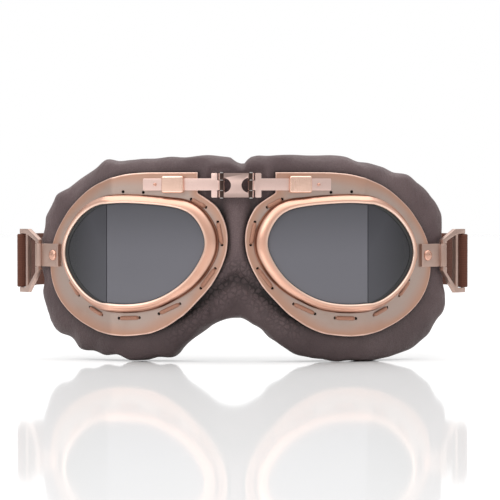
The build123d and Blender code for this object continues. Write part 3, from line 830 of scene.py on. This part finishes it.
# (share of the way in from the outline, extra distance in metres, height)
FRAME_ROWS = [
    (0, 0.0003, 0.0), (0, 0.00008, 0.0001), (0, 0.0, 0.0004), (0, 0.00006, 0.00075),
    (0, 0.0002, 0.00093), (0, 0.00045, 0.0010), (0, 0.0008, 0.0010), (0, 0.0013, 0.0010),
    (0.2, 0.0010, 0.0010), (0.4, 0.0008, 0.0010), (0.6, 0.0005, 0.0010), (0.8, 0.0003, 0.0010),
    (1.0, 0.0, 0.0010), (1.0, 0.0, 0.0), (0.5, 0.0, 0.0),
]
for tail, side in SIDES:
    rows = []
    for share, extra, high in FRAME_ROWS:
        q = outer + inward * (reach * share + extra * (1 - share))
        rows.append([sheet_point(u, z, high, side) for u, z in q])
    frame_ring = new_object("frame" + tail, grid_mesh("frame" + tail, rows), [flange_metal])
    cutter = bmesh.new()
    holes = [(base + along * (gap * end), out) for base, along, out, gap in places[tail]
             for end in (-0.5, 0.5)]
    holes += [(sheet_point(u, z, 0.001, side), Vector((side * math.sin(TILT), -math.cos(TILT), 0)))
              for u, z in BARE_HOLES]
    for middle, out in holes:
        turn = out.to_track_quat("Z", "X").to_matrix().to_4x4()
        spot = Matrix.Translation(middle) @ turn
        bmesh.ops.create_cone(cutter, cap_ends=True, segments=20, radius1=HOLE_R,
                              radius2=HOLE_R, depth=0.004, matrix=spot)
    cut_mesh = bpy.data.meshes.new("cutter")
    cutter.to_mesh(cut_mesh)
    cutter.free()
    cut = new_object("cutter", cut_mesh, [])
    b = frame_ring.modifiers.new("holes", "BOOLEAN")
    b.operation, b.object, b.solver = "DIFFERENCE", cut, "EXACT"
    baked(frame_ring)
    drop(cut)
    mesh = frame_ring.data
    inside = -beyond(FLANGE, sheet_coords(coords(mesh))[:, :2])
    cloud = 0.5 + 0.5 * np.sin(coords(mesh)[:, 0] * 210 + coords(mesh)[:, 2] * 130)
    # The rim number is the copper's own browning towards the outline; the edge number is polish
    # with a painted highlight along the very edge.
    store(mesh, "rim", (1 - smooth(inside, 0.0006, 0.0044 + 0.003 * cloud)) * 0.8)
    store(mesh, "edge", 1 - smooth(inside, 0.0002, 0.0006))
    shaded(mesh, 50)
    stand_in(frame_ring, "eye" + tail, "eye_frame" + tail)
    print(frame_ring.name, len(mesh.polygons), "faces")

# %% [markdown]
# **Rivets.**  The temple plate is held by one domed rivet.  A dome is rings of points that
# close in a pole; the outline follows a quarter of an ellipse with a small flat rim.

# %% Domed rivets and the joint between the panes
RIVET_R, RIVET_H = 0.0024, 0.0011
RIVET_U, RIVET_Z, PLATE_TOP = 0.0952, 0.046, 0.0022


def dome(name, middle, out, radius, high, material):
    bm = bmesh.new()
    turn = out.to_track_quat("Z", "X").to_matrix()
    rings = []
    profile = [(1.0, -0.0003), (1.0, 0.00012)]
    profile += [(math.cos(math.radians(a)), 0.00012 + (high - 0.00012) * math.sin(math.radians(a)))
                for a in (12, 26, 40, 54, 68, 80)]
    for share, up in profile:
        ring = []
        for k in range(40):
            a = math.tau * k / 40
            local = Vector((radius * share * math.cos(a), radius * share * math.sin(a), up))
            ring.append(bm.verts.new(middle + turn @ local))
        rings.append(ring)
    for low_ring, high_ring in zip(rings, rings[1:]):
        for k in range(40):
            m = (k + 1) % 40
            bm.faces.new((low_ring[k], low_ring[m], high_ring[m], high_ring[k]))
    pole = bm.verts.new(middle + turn @ Vector((0, 0, high)))
    for k in range(40):
        bm.faces.new((rings[-1][k], rings[-1][(k + 1) % 40], pole))
    bm.faces.new(list(reversed(rings[0])))
    bmesh.ops.recalc_face_normals(bm, faces=bm.faces)
    mesh = bpy.data.meshes.new(name)
    bm.to_mesh(mesh)
    bm.free()
    shaded(mesh, 50)
    return new_object(name, mesh, [material])


for tail, side in SIDES:
    out = Vector((side * math.sin(SWEEP), -math.cos(SWEEP), 0))
    rivet = dome("rivet" + tail, sheet_point(RIVET_U, RIVET_Z, PLATE_TOP, side), out,
                 RIVET_R, RIVET_H, rivet_metal)
    stand_in(rivet, "eye" + tail, "temple_rivet" + tail)
    # A hairline of cement fills the corner between the two panes.
    rows = []
    for u, t in ((-0.0003, 0.0021), (0.0003, 0.0021), (0.0003, 0.00402), (-0.0003, 0.00402)):
        rows.append([sheet_point(BEND_U + u, z, t, side) for z in np.linspace(0.0240, 0.0690, 24)])
    mesh = grid_mesh("pane_joint" + tail, rows, closed_columns=False, capped=True)
    joint = new_object("pane_joint" + tail, mesh, [side_glass])
    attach(joint, "eye" + tail)
print("rivets and joints made")

# %% [markdown]
# **Lacing.**  A waxed lace comes up through one hole, lies on the metal and goes down through
# the next.  Every stitch is the same little arch, so a Geometry Nodes tree bends one arch onto
# each stitch's place: the points carry the direction and the length of their stitch.

# %% Lacing stitches with Geometry Nodes


def stitch_tree(name, arch_mesh_object):
    """Points with 'along', 'out' and 'reach' attributes become copies of the arch."""
    tree = bpy.data.node_groups.new(name, "GeometryNodeTree")
    face = tree.interface
    face.new_socket("Geometry", in_out="INPUT", socket_type="NodeSocketGeometry")
    face.new_socket("Arch", in_out="INPUT", socket_type="NodeSocketObject")
    face.new_socket("Finish", in_out="INPUT", socket_type="NodeSocketMaterial")
    face.new_socket("Geometry", in_out="OUTPUT", socket_type="NodeSocketGeometry")
    given = Wire(tree).node("NodeGroupInput")

    def named(what, kind):
        return given.node("GeometryNodeInputNamedAttribute", {"data_type": kind}, {"Name": what})

    turn = given.node("FunctionNodeAxesToRotation", {"primary_axis": "Z", "secondary_axis": "X"},
                      {0: named("out", "FLOAT_VECTOR"), 1: named("along", "FLOAT_VECTOR")})
    size = given.node("ShaderNodeCombineXYZ", {}, {0: named("reach", "FLOAT"), 1: 1.0, 2: 1.0})
    info = given.node("GeometryNodeObjectInfo", {}, {"Object": given.other(1)}, out=4)
    points = given.node("GeometryNodeMeshToPoints", {}, {0: given})
    placed = given.node("GeometryNodeInstanceOnPoints", {},
                        {"Points": points, "Instance": info, "Rotation": turn, "Scale": size})
    real = given.node("GeometryNodeRealizeInstances", {}, {0: placed})
    done = given.node("GeometryNodeSetMaterial", {}, {0: real, 2: given.other(2)})
    tree.links.new(done.socket, tree.nodes.new("NodeGroupOutput").inputs[0])
    return tree


def arch_mesh(name, width, high, legs):
    """A rounded arch one unit long in X: it dips at both ends and has a flat oval section."""
    rows = []
    for k in range(13):
        from_end = min(k, 12 - k) / 12
        lift = high * math.sin(math.pi * min(from_end, 0.15) / 0.30)
        sink = legs * max(0.0, 1 - from_end / 0.04)
        half_width = width / 2 * (0.75 + 0.25 * min(1.0, from_end / 0.12))
        rows.append([
            (k / 12 - 0.5, half_width * math.cos(b), (lift + high * math.sin(b)) / 2 - sink)
            for b in np.arange(10) * math.tau / 10])
    return grid_mesh(name, rows, closed_rows=False, capped=True)


def stitches(name, spots, arch, material, body):
    """spots: list of (middle, along, out, reach)."""
    mesh = bpy.data.meshes.new(name)
    mesh.from_pydata([tuple(s[0]) for s in spots], [], [])
    for key, column in (("along", 1), ("out", 2)):
        a = mesh.attributes.new(key, "FLOAT_VECTOR", "POINT")
        a.data.foreach_set("vector", np.array([tuple(s[column]) for s in spots]).ravel())
    a = mesh.attributes.new("reach", "FLOAT", "POINT")
    a.data.foreach_set("value", [s[3] for s in spots])
    o = new_object(name, mesh, [])
    tree = stitch_tree(name + "_tree", arch)
    mod = o.modifiers.new("stitches", "NODES")
    mod.node_group = tree
    for item in tree.interface.items_tree:
        if item.item_type == "SOCKET" and item.in_out == "INPUT":
            if item.name == "Arch":
                mod[item.identifier] = arch
            if item.name == "Finish":
                mod[item.identifier] = material
    baked(o)
    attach(o, body)
    return o


lace_arch = new_object("lace_arch", arch_mesh("lace_arch", 0.0018, 0.0010, 0.0009), [])
for tail, side in SIDES:
    spots = [(base, along, out, gap - 0.0004) for base, along, out, gap in places[tail]]
    o = stitches("lacing_stitches" + tail, spots, lace_arch, lace, "eye" + tail)
    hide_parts("lacing" + tail)
    print(o.name, len(spots), "stitches", len(o.data.polygons), "faces")
drop(lace_arch)

# %% [markdown]
# **Pads.**  Each eye cup is foam in a soft leather cover, and both covers run together over the
# nose, so the leather is made as one skin first and cut into pieces last.  The fixed model has
# the plain foam blocks.  A voxel remesh turns the blocks into one even skin, smoothing rounds
# its edges, and a short cloth simulation with pressure swells it between the metal, which
# holds it at the front, and the face, which flattens it at the back.

# %% One skin from the foam blocks
VOXEL = 0.0030


def skin_from(names, voxel):
    bm = bmesh.new()
    for name in names:
        bm.from_mesh(nodes[name].data)
    bmesh.ops.remove_doubles(bm, verts=bm.verts, dist=1e-5)
    mesh = bpy.data.meshes.new("pad_skin")
    bm.to_mesh(mesh)
    bm.free()
    o = new_object("pad_skin", mesh, [])
    r = o.modifiers.new("even", "REMESH")
    r.mode, r.voxel_size = "VOXEL", voxel
    return baked(o)


def relaxed(co, edges, rounds, amount):
    """Moves every point towards the mean of its neighbours."""
    count = np.bincount(edges.ravel(), minlength=len(co))[:, None]
    for k in range(rounds):
        total = np.zeros_like(co)
        np.add.at(total, edges[:, 0], co[edges[:, 1]])
        np.add.at(total, edges[:, 1], co[edges[:, 0]])
        co = co + (total / count - co) * amount
    return co


skin = skin_from(["pad_l", "pad_r", "pad_lining_l", "pad_lining_r", "nose_leather"], VOXEL)
print("skin", len(skin.data.vertices), "points")

# %% [markdown]
# The back of the pads is a curve in plan that lies on the face.  It stays where the fixed model
# has it, so the simulation pins it, and it pins the leather under the metal as well.

# %% Swell the skin with a cloth simulation
BACK_CURVE = np.array([(9, 24), (27, 28), (50, 35), (75, 46.5), (94, 58)]) / 1000


def face_y(x):
    """Y of the face side of the pads."""
    coef = np.polyfit(BACK_CURVE[:, 0], BACK_CURVE[:, 1], 3)
    return NOSE_Y + np.polyval(coef, np.maximum(np.abs(x), 0.006))


def swell(o, hold, frames=16, cap=0.0030):
    """Cloth with pressure inside; hold is 1 where the skin is held."""
    group = o.vertex_groups.new(name="held")
    for i, h in enumerate(hold):
        if h > 0.02:
            group.add([i], float(h), "REPLACE")
    start = coords(o.data).copy()
    cloth = o.modifiers.new("swell", "CLOTH")
    s = cloth.settings
    s.quality, s.mass = 6, 0.25
    s.tension_stiffness = s.compression_stiffness = 30
    s.bending_stiffness = 1.2
    s.use_pressure, s.uniform_pressure_force = True, 4.0
    s.effector_weights.gravity = 0.0
    s.vertex_group_mass = "held"
    s.pin_stiffness = 1.0
    cloth.point_cache.frame_start, cloth.point_cache.frame_end = 1, frames
    for f in range(1, frames + 1):
        bpy.context.scene.frame_set(f)
    baked(o)
    bpy.context.scene.frame_set(1)
    move = coords(o.data) - start
    length = np.linalg.norm(move, axis=1)[:, None]
    move *= np.minimum(1, cap / np.maximum(length, 1e-9))
    set_coords(o.data, start + move)
    print("moved up to", round(float(length.max()) * 1000, 2), "mm before the cap")


co = coords(skin.data)
edges = edge_array(skin.data)
co = relaxed(co, edges, 6, 0.5)
set_coords(skin.data, co)
sheet = sheet_coords(co)
outside = beyond(FLANGE, sheet[:, :2])
behind = face_y(co[:, 0]) - co[:, 1]
held = np.maximum((1 - smooth(outside, -0.002, 0.004)) * (1 - smooth(-sheet[:, 2], 0.004, 0.010)),
                  1 - smooth(behind, 0.0015, 0.005))
held = np.maximum(held, 1 - smooth(np.abs(co[:, 0]), 0.004, 0.010))
swell(skin, held)

# %% [markdown]
# Real covers are never smooth: the leather is gathered at the edge, so the outline waves, and
# shallow folds run in from it.  One subdivision gives enough points; then each point moves
# outwards or inwards from the middle of its eye by a factor read from a short table of lobes.

# %% Lobes, folds and the crease over the nose
s = skin.modifiers.new("finer", "SUBSURF")
s.levels = s.render_levels = 1
baked(skin)

EYE = np.array((0.047, 0.046))
# Outwards shift in mm every 7.5 degrees round each eye, from the temple upwards.
LOBES = {
    -1: [
        0.0, 0.0, 0.8, 1.3, 1.0, 2.0, 0.1, -0.5, -0.5, 0.4, 2.6, 0.3,
        0.1, -0.2, -0.6, -1.1, -1.2, 0.0, 0.0, 0.0, 0.0, 0.0, 0.0, 0.0,
        0.0, 0.0, 0.0, 0.0, -0.2, -0.3, -0.7, -0.1, 0.6, 2.2, -0.2, 0.5,
        0.6, -2.0, -0.5, -1.6, 0.7, -0.5, 1.6, 2.3, 0.6, 0.5, -0.8, -0.3,
    ],
    1: [
        0.0, 0.4, 2.6, 3.4, 3.5, 3.1, 2.6, 3.1, 0.4, 0.7, 0.2, -0.5,
        1.1, 1.0, 0.3, -0.2, 0.0, 0.0, 0.0, 0.0, 0.0, 0.0, 0.0, 0.0,
        0.0, 0.0, 0.0, 0.0, -0.2, 0.7, 2.2, 2.2, 2.4, 0.6, 1.2, 0.3,
        -0.4, -0.1, 1.2, 1.8, 2.7, 3.5, 4.1, 3.9, 4.5, 3.0, 1.0, 0.0,
    ],
}


def lobe_shift(side, angle):
    """Outwards shift in metres at angles round one eye."""
    table = np.array(LOBES[side])
    k = np.mod(angle / math.radians(7.5), 48)
    i = k.astype(int) % 48
    f = k - np.floor(k)
    return spline(*(table[(i + j) % 48] for j in (-1, 0, 1, 2)), f) / 1000


def ripple(q, scale, seed):
    """Smooth repeatable noise of points, about -1 to 1."""
    rng = np.random.default_rng(seed)
    total = np.zeros(len(q))
    for k in range(7):
        d = rng.normal(size=3)
        d /= np.linalg.norm(d)
        pitch = math.tau / scale * rng.uniform(0.6, 1.5)
        total += np.sin(q @ d * pitch + rng.uniform(0, math.tau))
    return total / 3.2


co = coords(skin.data)
edges = edge_array(skin.data)
co = relaxed(co, edges, 3, 0.5)
side = np.where(co[:, 0] < 0, -1, 1)
sheet = sheet_coords(co)
outside = beyond(FLANGE, sheet[:, :2])
rel = np.stack([np.abs(co[:, 0]) - EYE[0], co[:, 2] - EYE[1]], axis=1)
angle = np.arctan2(rel[:, 1], rel[:, 0])
reach = np.hypot(rel[:, 0], rel[:, 1])
direction = rel / reach[:, None]
weight = smooth(outside, 0.0005, 0.007)
shift = np.where(side < 0, lobe_shift(-1, angle), lobe_shift(1, angle)) * weight
co[:, 0] += side * direction[:, 0] * shift
co[:, 2] += direction[:, 1] * shift

# Gathers: folds that run in from the edge, and a slow swelling of the whole skin.
set_coords(skin.data, co)
no = normals(skin.data)
folds = ripple(np.stack([angle * 0.040 * side, reach * 0.25, co[:, 1] * 0.35], axis=1), 0.0085, 3)
slow = ripple(co, 0.030, 5)
low = 1 - smooth(co[:, 2], 0.020, 0.050)
FOLD_HIGH, LOW_FOLD_EXTRA, SLOW_HIGH = 0.00030, 0.00045, 0.0004
amount = (folds * (FOLD_HIGH + LOW_FOLD_EXTRA * low) + slow * SLOW_HIGH) * weight
co = co + no * amount[:, None]

# Over the nose: a soft ridge down the middle, and a crease like an upside-down V under it.
CREASE_TOP, CREASE_SLOPE, CREASE_CURVE = 0.0365, 0.98, 6.9
RIDGE_HIGH, FLANK_DEEP, CREASE_DEEP, PUFF_HIGH, LINE_HIGH = 0.0021, 0.0016, 0.0019, 0.0009, 0.0005


def nose_relief(p):
    """Ridge, flanks, crease and the swelling beside the crease, each 0 to 1 at the points p."""
    ax, z = np.abs(p[:, 0]), p[:, 2]
    ridge = np.exp(-(p[:, 0] / 0.0028) ** 2) * smooth(z, 0.038, 0.048)
    flanks = (np.exp(-((ax - 0.0066) / 0.0024) ** 2)
              * smooth(z, 0.040, 0.052) * (1 - smooth(z, 0.070, 0.078)))
    bend = np.hypot(ax, 0.0035) - 0.0035
    away = (z - (CREASE_TOP - CREASE_SLOPE * bend + CREASE_CURVE * ax**2)) * 0.72
    inner = 1 - smooth(ax, 0.020, 0.036)
    crease = np.exp(-(away / 0.0021) ** 2) * inner
    puff = (np.exp(-((away - 0.0042) / 0.0022) ** 2)
            + np.exp(-((away + 0.0046) / 0.0026) ** 2)) * inner
    return ridge, flanks, crease, puff


front = smooth(-no[:, 1], 0.2, 0.7)
ridge, flanks, crease, puff = nose_relief(co)
ax, z = np.abs(co[:, 0]), co[:, 2]
across = np.stack([ax * 0.72 + z * 0.69, ax * 0.2 - z * 0.2, co[:, 1] * 0.2], axis=1)
lines = ripple(across, 0.0042, 9)
near_nose = (1 - smooth(ax, 0.016, 0.034)) * (1 - smooth(z, 0.038, 0.048))
co[:, 1] -= front * (ridge * RIDGE_HIGH - flanks * FLANK_DEEP - crease * CREASE_DEEP
                     + puff * PUFF_HIGH + lines * near_nose * LINE_HIGH)

# The notch at the top of the nose, where the two covers meet.
NOTCH_X, NOTCH_DEEP, SHOULDER_X, SHOULDER_HIGH = 0.0019, 0.0022, 0.0085, 0.0009
top_edge = smooth(z, 0.079, 0.0875)
off = co[:, 0] - NOTCH_X
notch = (1 - smooth(np.where(off < 0, -off, off * 1.6), 0.0017, 0.0056)) * top_edge
shoulder = np.exp(-((co[:, 0] - SHOULDER_X) / 0.0038) ** 2) * top_edge
co[:, 2] += shoulder * SHOULDER_HIGH - notch * NOTCH_DEEP
set_coords(skin.data, co)
print("lobes done", len(co))

# %% [markdown]
# Last, the leather is pressed back wherever it would come through the metal, and the floor
# flattens it.

# %% Press the leather behind the metal
co = coords(skin.data)
sheet = sheet_coords(co)
outside = beyond(FLANGE, sheet[:, :2])
limit = -0.00030 + 0.0024 * smooth(outside, 0.0008, 0.007)
middle = np.abs(co[:, 0]) < 0.016
bridge_zone = middle & (co[:, 2] > 0.0685) & (co[:, 2] < 0.0850)
ridge_limit = np.where(bridge_zone, -0.0016, -0.00075)
limit = np.where(np.abs(co[:, 0]) < 0.012, np.minimum(limit, ridge_limit), limit)
over = np.maximum(0, sheet[:, 2] - limit)
near = (np.abs(co[:, 0]) - BEND_X) * math.cos(MID) + (co[:, 1] - BEND_Y) * math.sin(MID) < 0
a = np.where(near, TILT, SWEEP)
co[:, 0] -= np.sign(co[:, 0]) * np.sin(a) * over
co[:, 1] += np.cos(a) * over
co[:, 2] = np.maximum(co[:, 2], 0.0)
set_coords(skin.data, co)
print("pressed", int((over > 0).sum()), "points; lowest", co[:, 2].min())

# %% [markdown]
# The skin is cut at the middle of the nose and a little to each side.
# Normals are read from the whole skin, so the cuts don't show.

# %% Cut the skin into pieces
SEAM_X = 0.008
skin_faces = BVHTree.FromPolygons(
    [tuple(c) for c in co], [tuple(p.vertices) for p in skin.data.polygons])
skin_normals = normals(skin.data)
LINING_DEPTH = 0.0040


def skin_normal(p):
    hit, n, index, _ = skin_faces.find_nearest(p)
    corners = skin.data.polygons[index].vertices
    w = [1 / (1e-5 + (hit - Vector(co[v])).length) ** 2 for v in corners]
    total = sum((Vector(skin_normals[v]) * k for v, k in zip(corners, w)), Vector())
    return total.normalized()


def slice_of(name, low, high):
    """The part of the skin between two upright planes, closed at its cuts."""
    bm = bmesh.new()
    bm.from_mesh(skin.data)
    for x, keep in ((low, 1), (high, -1)):
        if abs(x) > 0.5:
            continue
        geom = bm.verts[:] + bm.edges[:] + bm.faces[:]
        cut = bmesh.ops.bisect_plane(bm, geom=geom, dist=1e-6, plane_co=(x, 0, 0),
                                     plane_no=(-keep, 0, 0), clear_outer=True)
        rim = [e for e in cut["geom_cut"] if isinstance(e, bmesh.types.BMEdge)]
        bmesh.ops.holes_fill(bm, edges=rim, sides=0)
    bmesh.ops.triangulate(bm, faces=[f for f in bm.faces if len(f.verts) > 4])
    mesh = bpy.data.meshes.new(name)
    bm.to_mesh(mesh)
    bm.free()
    o = new_object(name, mesh, [leather, lining])
    for p in mesh.polygons:
        p.use_smooth = True
        c = p.center
        if p.normal.y > 0.35 and face_y(np.array([c.x]))[0] - c.y < LINING_DEPTH:
            p.material_index = 1
    p = coords(mesh)
    q = sheet_coords(p)
    gap = beyond(FLANGE, q[:, :2])
    # Painted shade: shadow beside the metal, darker towards the bottom and in the nose's flanks and
    # crease, and a little less on the ridge and the swellings as painted highlight.
    near_metal = 0.62 * (1 - smooth(gap, -0.0008, 0.0014)) + 0.30 * (1 - smooth(gap, 0.0, 0.0045))
    under_front = 1 - smooth(-q[:, 2], 0.004, 0.012)
    low = 0.34 * (1 - smooth(p[:, 2], 0.008, 0.050))
    ridge, flanks, crease, puff = nose_relief(p)
    facing = smooth(-q[:, 2], 0.016, 0.010)
    fold_shade_and_highlight = np.clip(flanks * 0.42 + crease * 0.34 - (ridge + puff) * 0.20, -0.2, 0.6) * facing
    shadow_near_metal = np.maximum(near_metal * under_front, 0) * (1 - low)
    # The number stored as 'pressed' is this painted shade, read by the leather's colour.
    store(mesh, "pressed", np.clip(shadow_near_metal + low + fold_shade_and_highlight, 0, 1))
    store(mesh, "wrinkled", np.clip(crease + puff * 0.8, 0, 1) * facing)
    given = [skin_normal(v.co) for v in mesh.vertices]
    mesh.normals_split_custom_set_from_vertices([tuple(n) for n in given])
    return o


pieces = {
    "nose_leather_l": (-SEAM_X, 0.0), "nose_leather_r": (0.0, SEAM_X),
    "leather_pad_l": (-9, -SEAM_X), "leather_pad_r": (SEAM_X, 9),
}
made = {name: slice_of(name, *span) for name, span in pieces.items()}
for tail, side in SIDES:
    nose, pad = made["nose_leather" + tail], made["leather_pad" + tail]
    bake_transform(nose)
    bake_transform(pad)
    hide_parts("nose_leather")
    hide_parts("pad" + tail, "pad_lining" + tail)
    print(pad.name, len(pad.data.polygons), nose.name, len(nose.data.polygons))
drop(skin)

# %% [markdown]
# ** Strap.** Flat webbing is a ribbon: a rounded rectangle carried along a path in plan. The
# ends go round the bar of each metal loop and are sewn back on the strap.  Webbing bends but
# hardly stretches; the strap is made in three lengths.

# %% Ribbon helper and the strap's path
STRAP_Z = 0.0433
STRAP_W = 0.0240
STRAP_T = 0.0018
WRAP = Vector((0.09976, -0.00730))
PLY_DIR = Vector((math.cos(math.radians(93)), math.sin(math.radians(93))))
PLY_END = WRAP + PLY_DIR * 0.027
REAR = Vector((0.0, 0.0715))
PULL_NEAR, PULL_FAR = 0.142, 0.114


def band_path():
    """The strap's middle line in plan, from the loop to the back of the head."""
    points = [WRAP + PLY_DIR * (0.003 + 0.024 * k / 12) for k in range(12)]
    a, b = PLY_DIR * PULL_NEAR, Vector((-1, 0)) * PULL_FAR
    for k in range(81):
        s = k / 80
        points.append((2 * s**3 - 3 * s**2 + 1) * PLY_END + (s**3 - 2 * s**2 + s) * a
                      + (3 * s**2 - 2 * s**3) * REAR + (s**3 - s**2) * b)
    return points


def ribbon(name, path, thick, side, start=0.0, width=STRAP_W, z=STRAP_Z):
    """A band of webbing that stands on edge along a path in plan; start is its first UV."""
    p = np.array([tuple(v) for v in path])
    d = np.gradient(p, axis=0)
    d /= np.linalg.norm(d, axis=1)[:, None]
    out = np.stack([d[:, 1], -d[:, 0]], axis=1)
    run = start + np.concatenate([[0], np.cumsum(np.linalg.norm(np.diff(p, axis=0), axis=1))])
    r = min(thick * 0.45, 0.0006)
    w, h = width / 2, thick / 2
    section = []
    corners = ((w - r, h - r, 0), (-w + r, h - r, 90), (-w + r, -h + r, 180), (w - r, -h + r, 270))
    for cx, cy, a0 in corners:
        for k in range(4):
            a = math.radians(a0 + 30 * k)
            section.append((cx + r * math.cos(a), cy + r * math.sin(a)))
    across = []
    for k, (x, y) in enumerate(section):
        across.append((x, y))
        if k == 3 or k == 11:
            sign = -1 if k == 3 else 1
            for m in range(1, 12):
                across.append((x + sign * (width - 2 * r) * m / 12, y))
    rows = []
    for (x, y), (ox, oy) in zip(p, out):
        rows.append([(side * (x + ox * b), y + oy * b, z + a) for a, b in across])
    mesh = grid_mesh(name, rows, closed_rows=False)
    bm = bmesh.new()
    bm.from_mesh(mesh)
    bm.verts.ensure_lookup_table()
    count = len(across)
    bm.faces.new([bm.verts[i] for i in range(count)])
    bm.faces.new([bm.verts[(len(rows) - 1) * count + i] for i in reversed(range(count))])
    bmesh.ops.recalc_face_normals(bm, faces=bm.faces)
    uv = bm.loops.layers.uv.new("weave")
    for f in bm.faces:
        for loop in f.loops:
            i = loop.vert.index
            loop[uv].uv = (run[i // count], across[i % count][0])
    bm.to_mesh(mesh)
    bm.free()
    shaded(mesh, 50)
    return new_object(name, mesh, [webbing])


path = band_path()
steps = np.concatenate([[0], np.cumsum([(b - a).length for a, b in zip(path, path[1:])])])
print("half band", round(float(steps[-1]) * 1000, 1), "mm")

# %% Strap band in lengths
CUT_A, CUT_B = 0.060, 0.076       # where the lengths meet, measured along the band


def band_point(run):
    """The point of the band at a distance along it."""
    return Vector([np.interp(run, steps, [v[k] for v in path]) for k in (0, 1)])


def stretch(low, high):
    """Points of the band between two distances along it, ends included."""
    return [band_point(run) for run in np.arange(low, high - 0.0006, 0.0016)] + [band_point(high)]


for tail, side in SIDES:
    near, mid, far = (
        ribbon(name + tail, stretch(low, high), STRAP_T, side, start=low)
        for name, low, high in (("strap_near", 0.0, CUT_A), ("strap_mid", CUT_A, CUT_B),
                                ("strap_far", CUT_B, float(steps[-1]))))
    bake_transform(near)
    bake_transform(mid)
    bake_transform(far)
    for piece in (near, mid, far):
        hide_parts("strap_band")
print("band made")

# %% [markdown]
# The sewn end is one ply that leaves the strap's outer side, goes round the bar and lies on the
# inner side.  Two rows of stitches across it and a short line of stitches along each edge hold it,
# on both faces.

# %% Sewn ends
PLY = 0.0014
SEAM_STITCH = 0.0020
WRAP_R = 0.0009 + PLY / 2
side_way = Vector((PLY_DIR.y, -PLY_DIR.x))
ply_path = [PLY_END + side_way * WRAP_R - PLY_DIR * 0.027 * k / 16 for k in range(16)]
for k in range(13):
    a = math.pi * k / 12
    ply_path.append(WRAP + side_way * WRAP_R * math.cos(a) - PLY_DIR * WRAP_R * math.sin(a))
ply_path += [WRAP - side_way * WRAP_R + PLY_DIR * 0.027 * k / 16 for k in range(1, 17)]
thread_arch = new_object("thread_arch", arch_mesh("thread_arch", 0.0007, 0.00045, 0.0003), [])
for tail, side in SIDES:
    o = ribbon("strap_end_ply" + tail, ply_path, PLY, side, start=0.3)
    stand_in(o, "loop" + tail, "strap_end" + tail)
    spots = []
    along, up = Vector((side * PLY_DIR.x, PLY_DIR.y, 0)), Vector((0, 0, 1))
    for face in (1, -1):
        out = Vector((side * side_way.x * face, side_way.y * face, 0))

        def seam_spot(run, z, way):
            flat = WRAP + side_way * face * (WRAP_R + PLY / 2 - 0.0001) + PLY_DIR * run
            return (side * flat.x, flat.y, STRAP_Z + z), way, out, SEAM_STITCH

        spots += [seam_spot(run, (STRAP_W - 0.0048) * (k / 8 - 0.5), up)
                  for run in (0.0065, 0.0245) for k in range(9)]
        spots += [seam_spot(0.0092 + 0.0026 * k, edge * (STRAP_W / 2 - 0.0022), along)
                  for edge in (-1, 1) for k in range(6)]
    stitches("strap_stitches" + tail, spots, thread_arch, seam_thread, "loop" + tail)
drop(thread_arch)
print("ends sewn")

# %% [markdown]
# **Floor and light.**  The goggles stand on gloss white.  Nearly half mirror and the rest
# paper white gives a pale reflection that is clear at the foot, and the mirror's share falls
# towards the viewer, so that it fades.  A large lamp above and one in front are soft enough to
# have no edges, and the world is a gradient that looks plain white to the camera.

# %% Floor, world and lamps


def floor_finish():
    m, shader, where = finish("floor", {"Roughness": 1.0, "Base Color": (0.86, 0.86, 0.86, 1),
                                        "Specular IOR Level": 0.0})
    mirror = where.node("ShaderNodeBsdfGlossy", {}, {"Roughness": 0.05, "Color": (1, 1, 1, 1)})
    share = where.parts().other(1).step(-1.1, -0.1) * 0.20 + 0.26
    mixed = where.node("ShaderNodeMixShader", {},
                       {0: share, 1: Wire(where.tree, shader.outputs[0]), 2: mirror})
    where.tree.links.new(mixed.socket, where.tree.nodes["Material Output"].inputs["Surface"])
    return m


floor_mesh = bpy.data.meshes.new("floor")
floor_mesh.from_pydata([(-6, -6, -0.0002), (6, -6, -0.0002), (6, 6, -0.0002), (-6, 6, -0.0002)],
                       [], [(0, 1, 2, 3)])
floor = new_object("floor", floor_mesh, [floor_finish()])

world = bpy.data.worlds.new("studio")
world.use_nodes = True
sky = world.node_tree.nodes["Background"]
way = Wire(world.node_tree).node("ShaderNodeTexCoord").parts()
away, up = way.other(1), way.other(2)
low_band = (1 - up.step(0.02, 0.16)) * up.step(-0.05, 0.0) * away.step(0.3, 0.8)
light = up.step(-0.15, 0.95) * 0.62 + 0.48 + low_band * 0.65
plain = way.node("ShaderNodeLightPath")
feed(sky, Strength=light + plain * (1.0 - light))
sky.inputs["Color"].default_value = (1, 1, 1, 1)
bpy.context.scene.world = world


def lamp(name, place, aim, size, power):
    data = bpy.data.lights.new(name, "AREA")
    data.shape, data.size, data.size_y = "RECTANGLE", size[0], size[1]
    data.energy = power
    o = bpy.data.objects.new(name, data)
    bpy.context.scene.collection.objects.link(o)
    o.location = place
    o.rotation_euler = (Vector(aim) - Vector(place)).to_track_quat("-Z", "Y").to_euler()


lamp("top", (0.0, 0.6, 2.6), (0, 0.6, 0.0), (4.0, 5.0), 60)
lamp("front_left", (-0.9, -1.2, 0.8), (0, -0.05, 0.05), (0.6, 0.8), 3.5)
print("stage set")
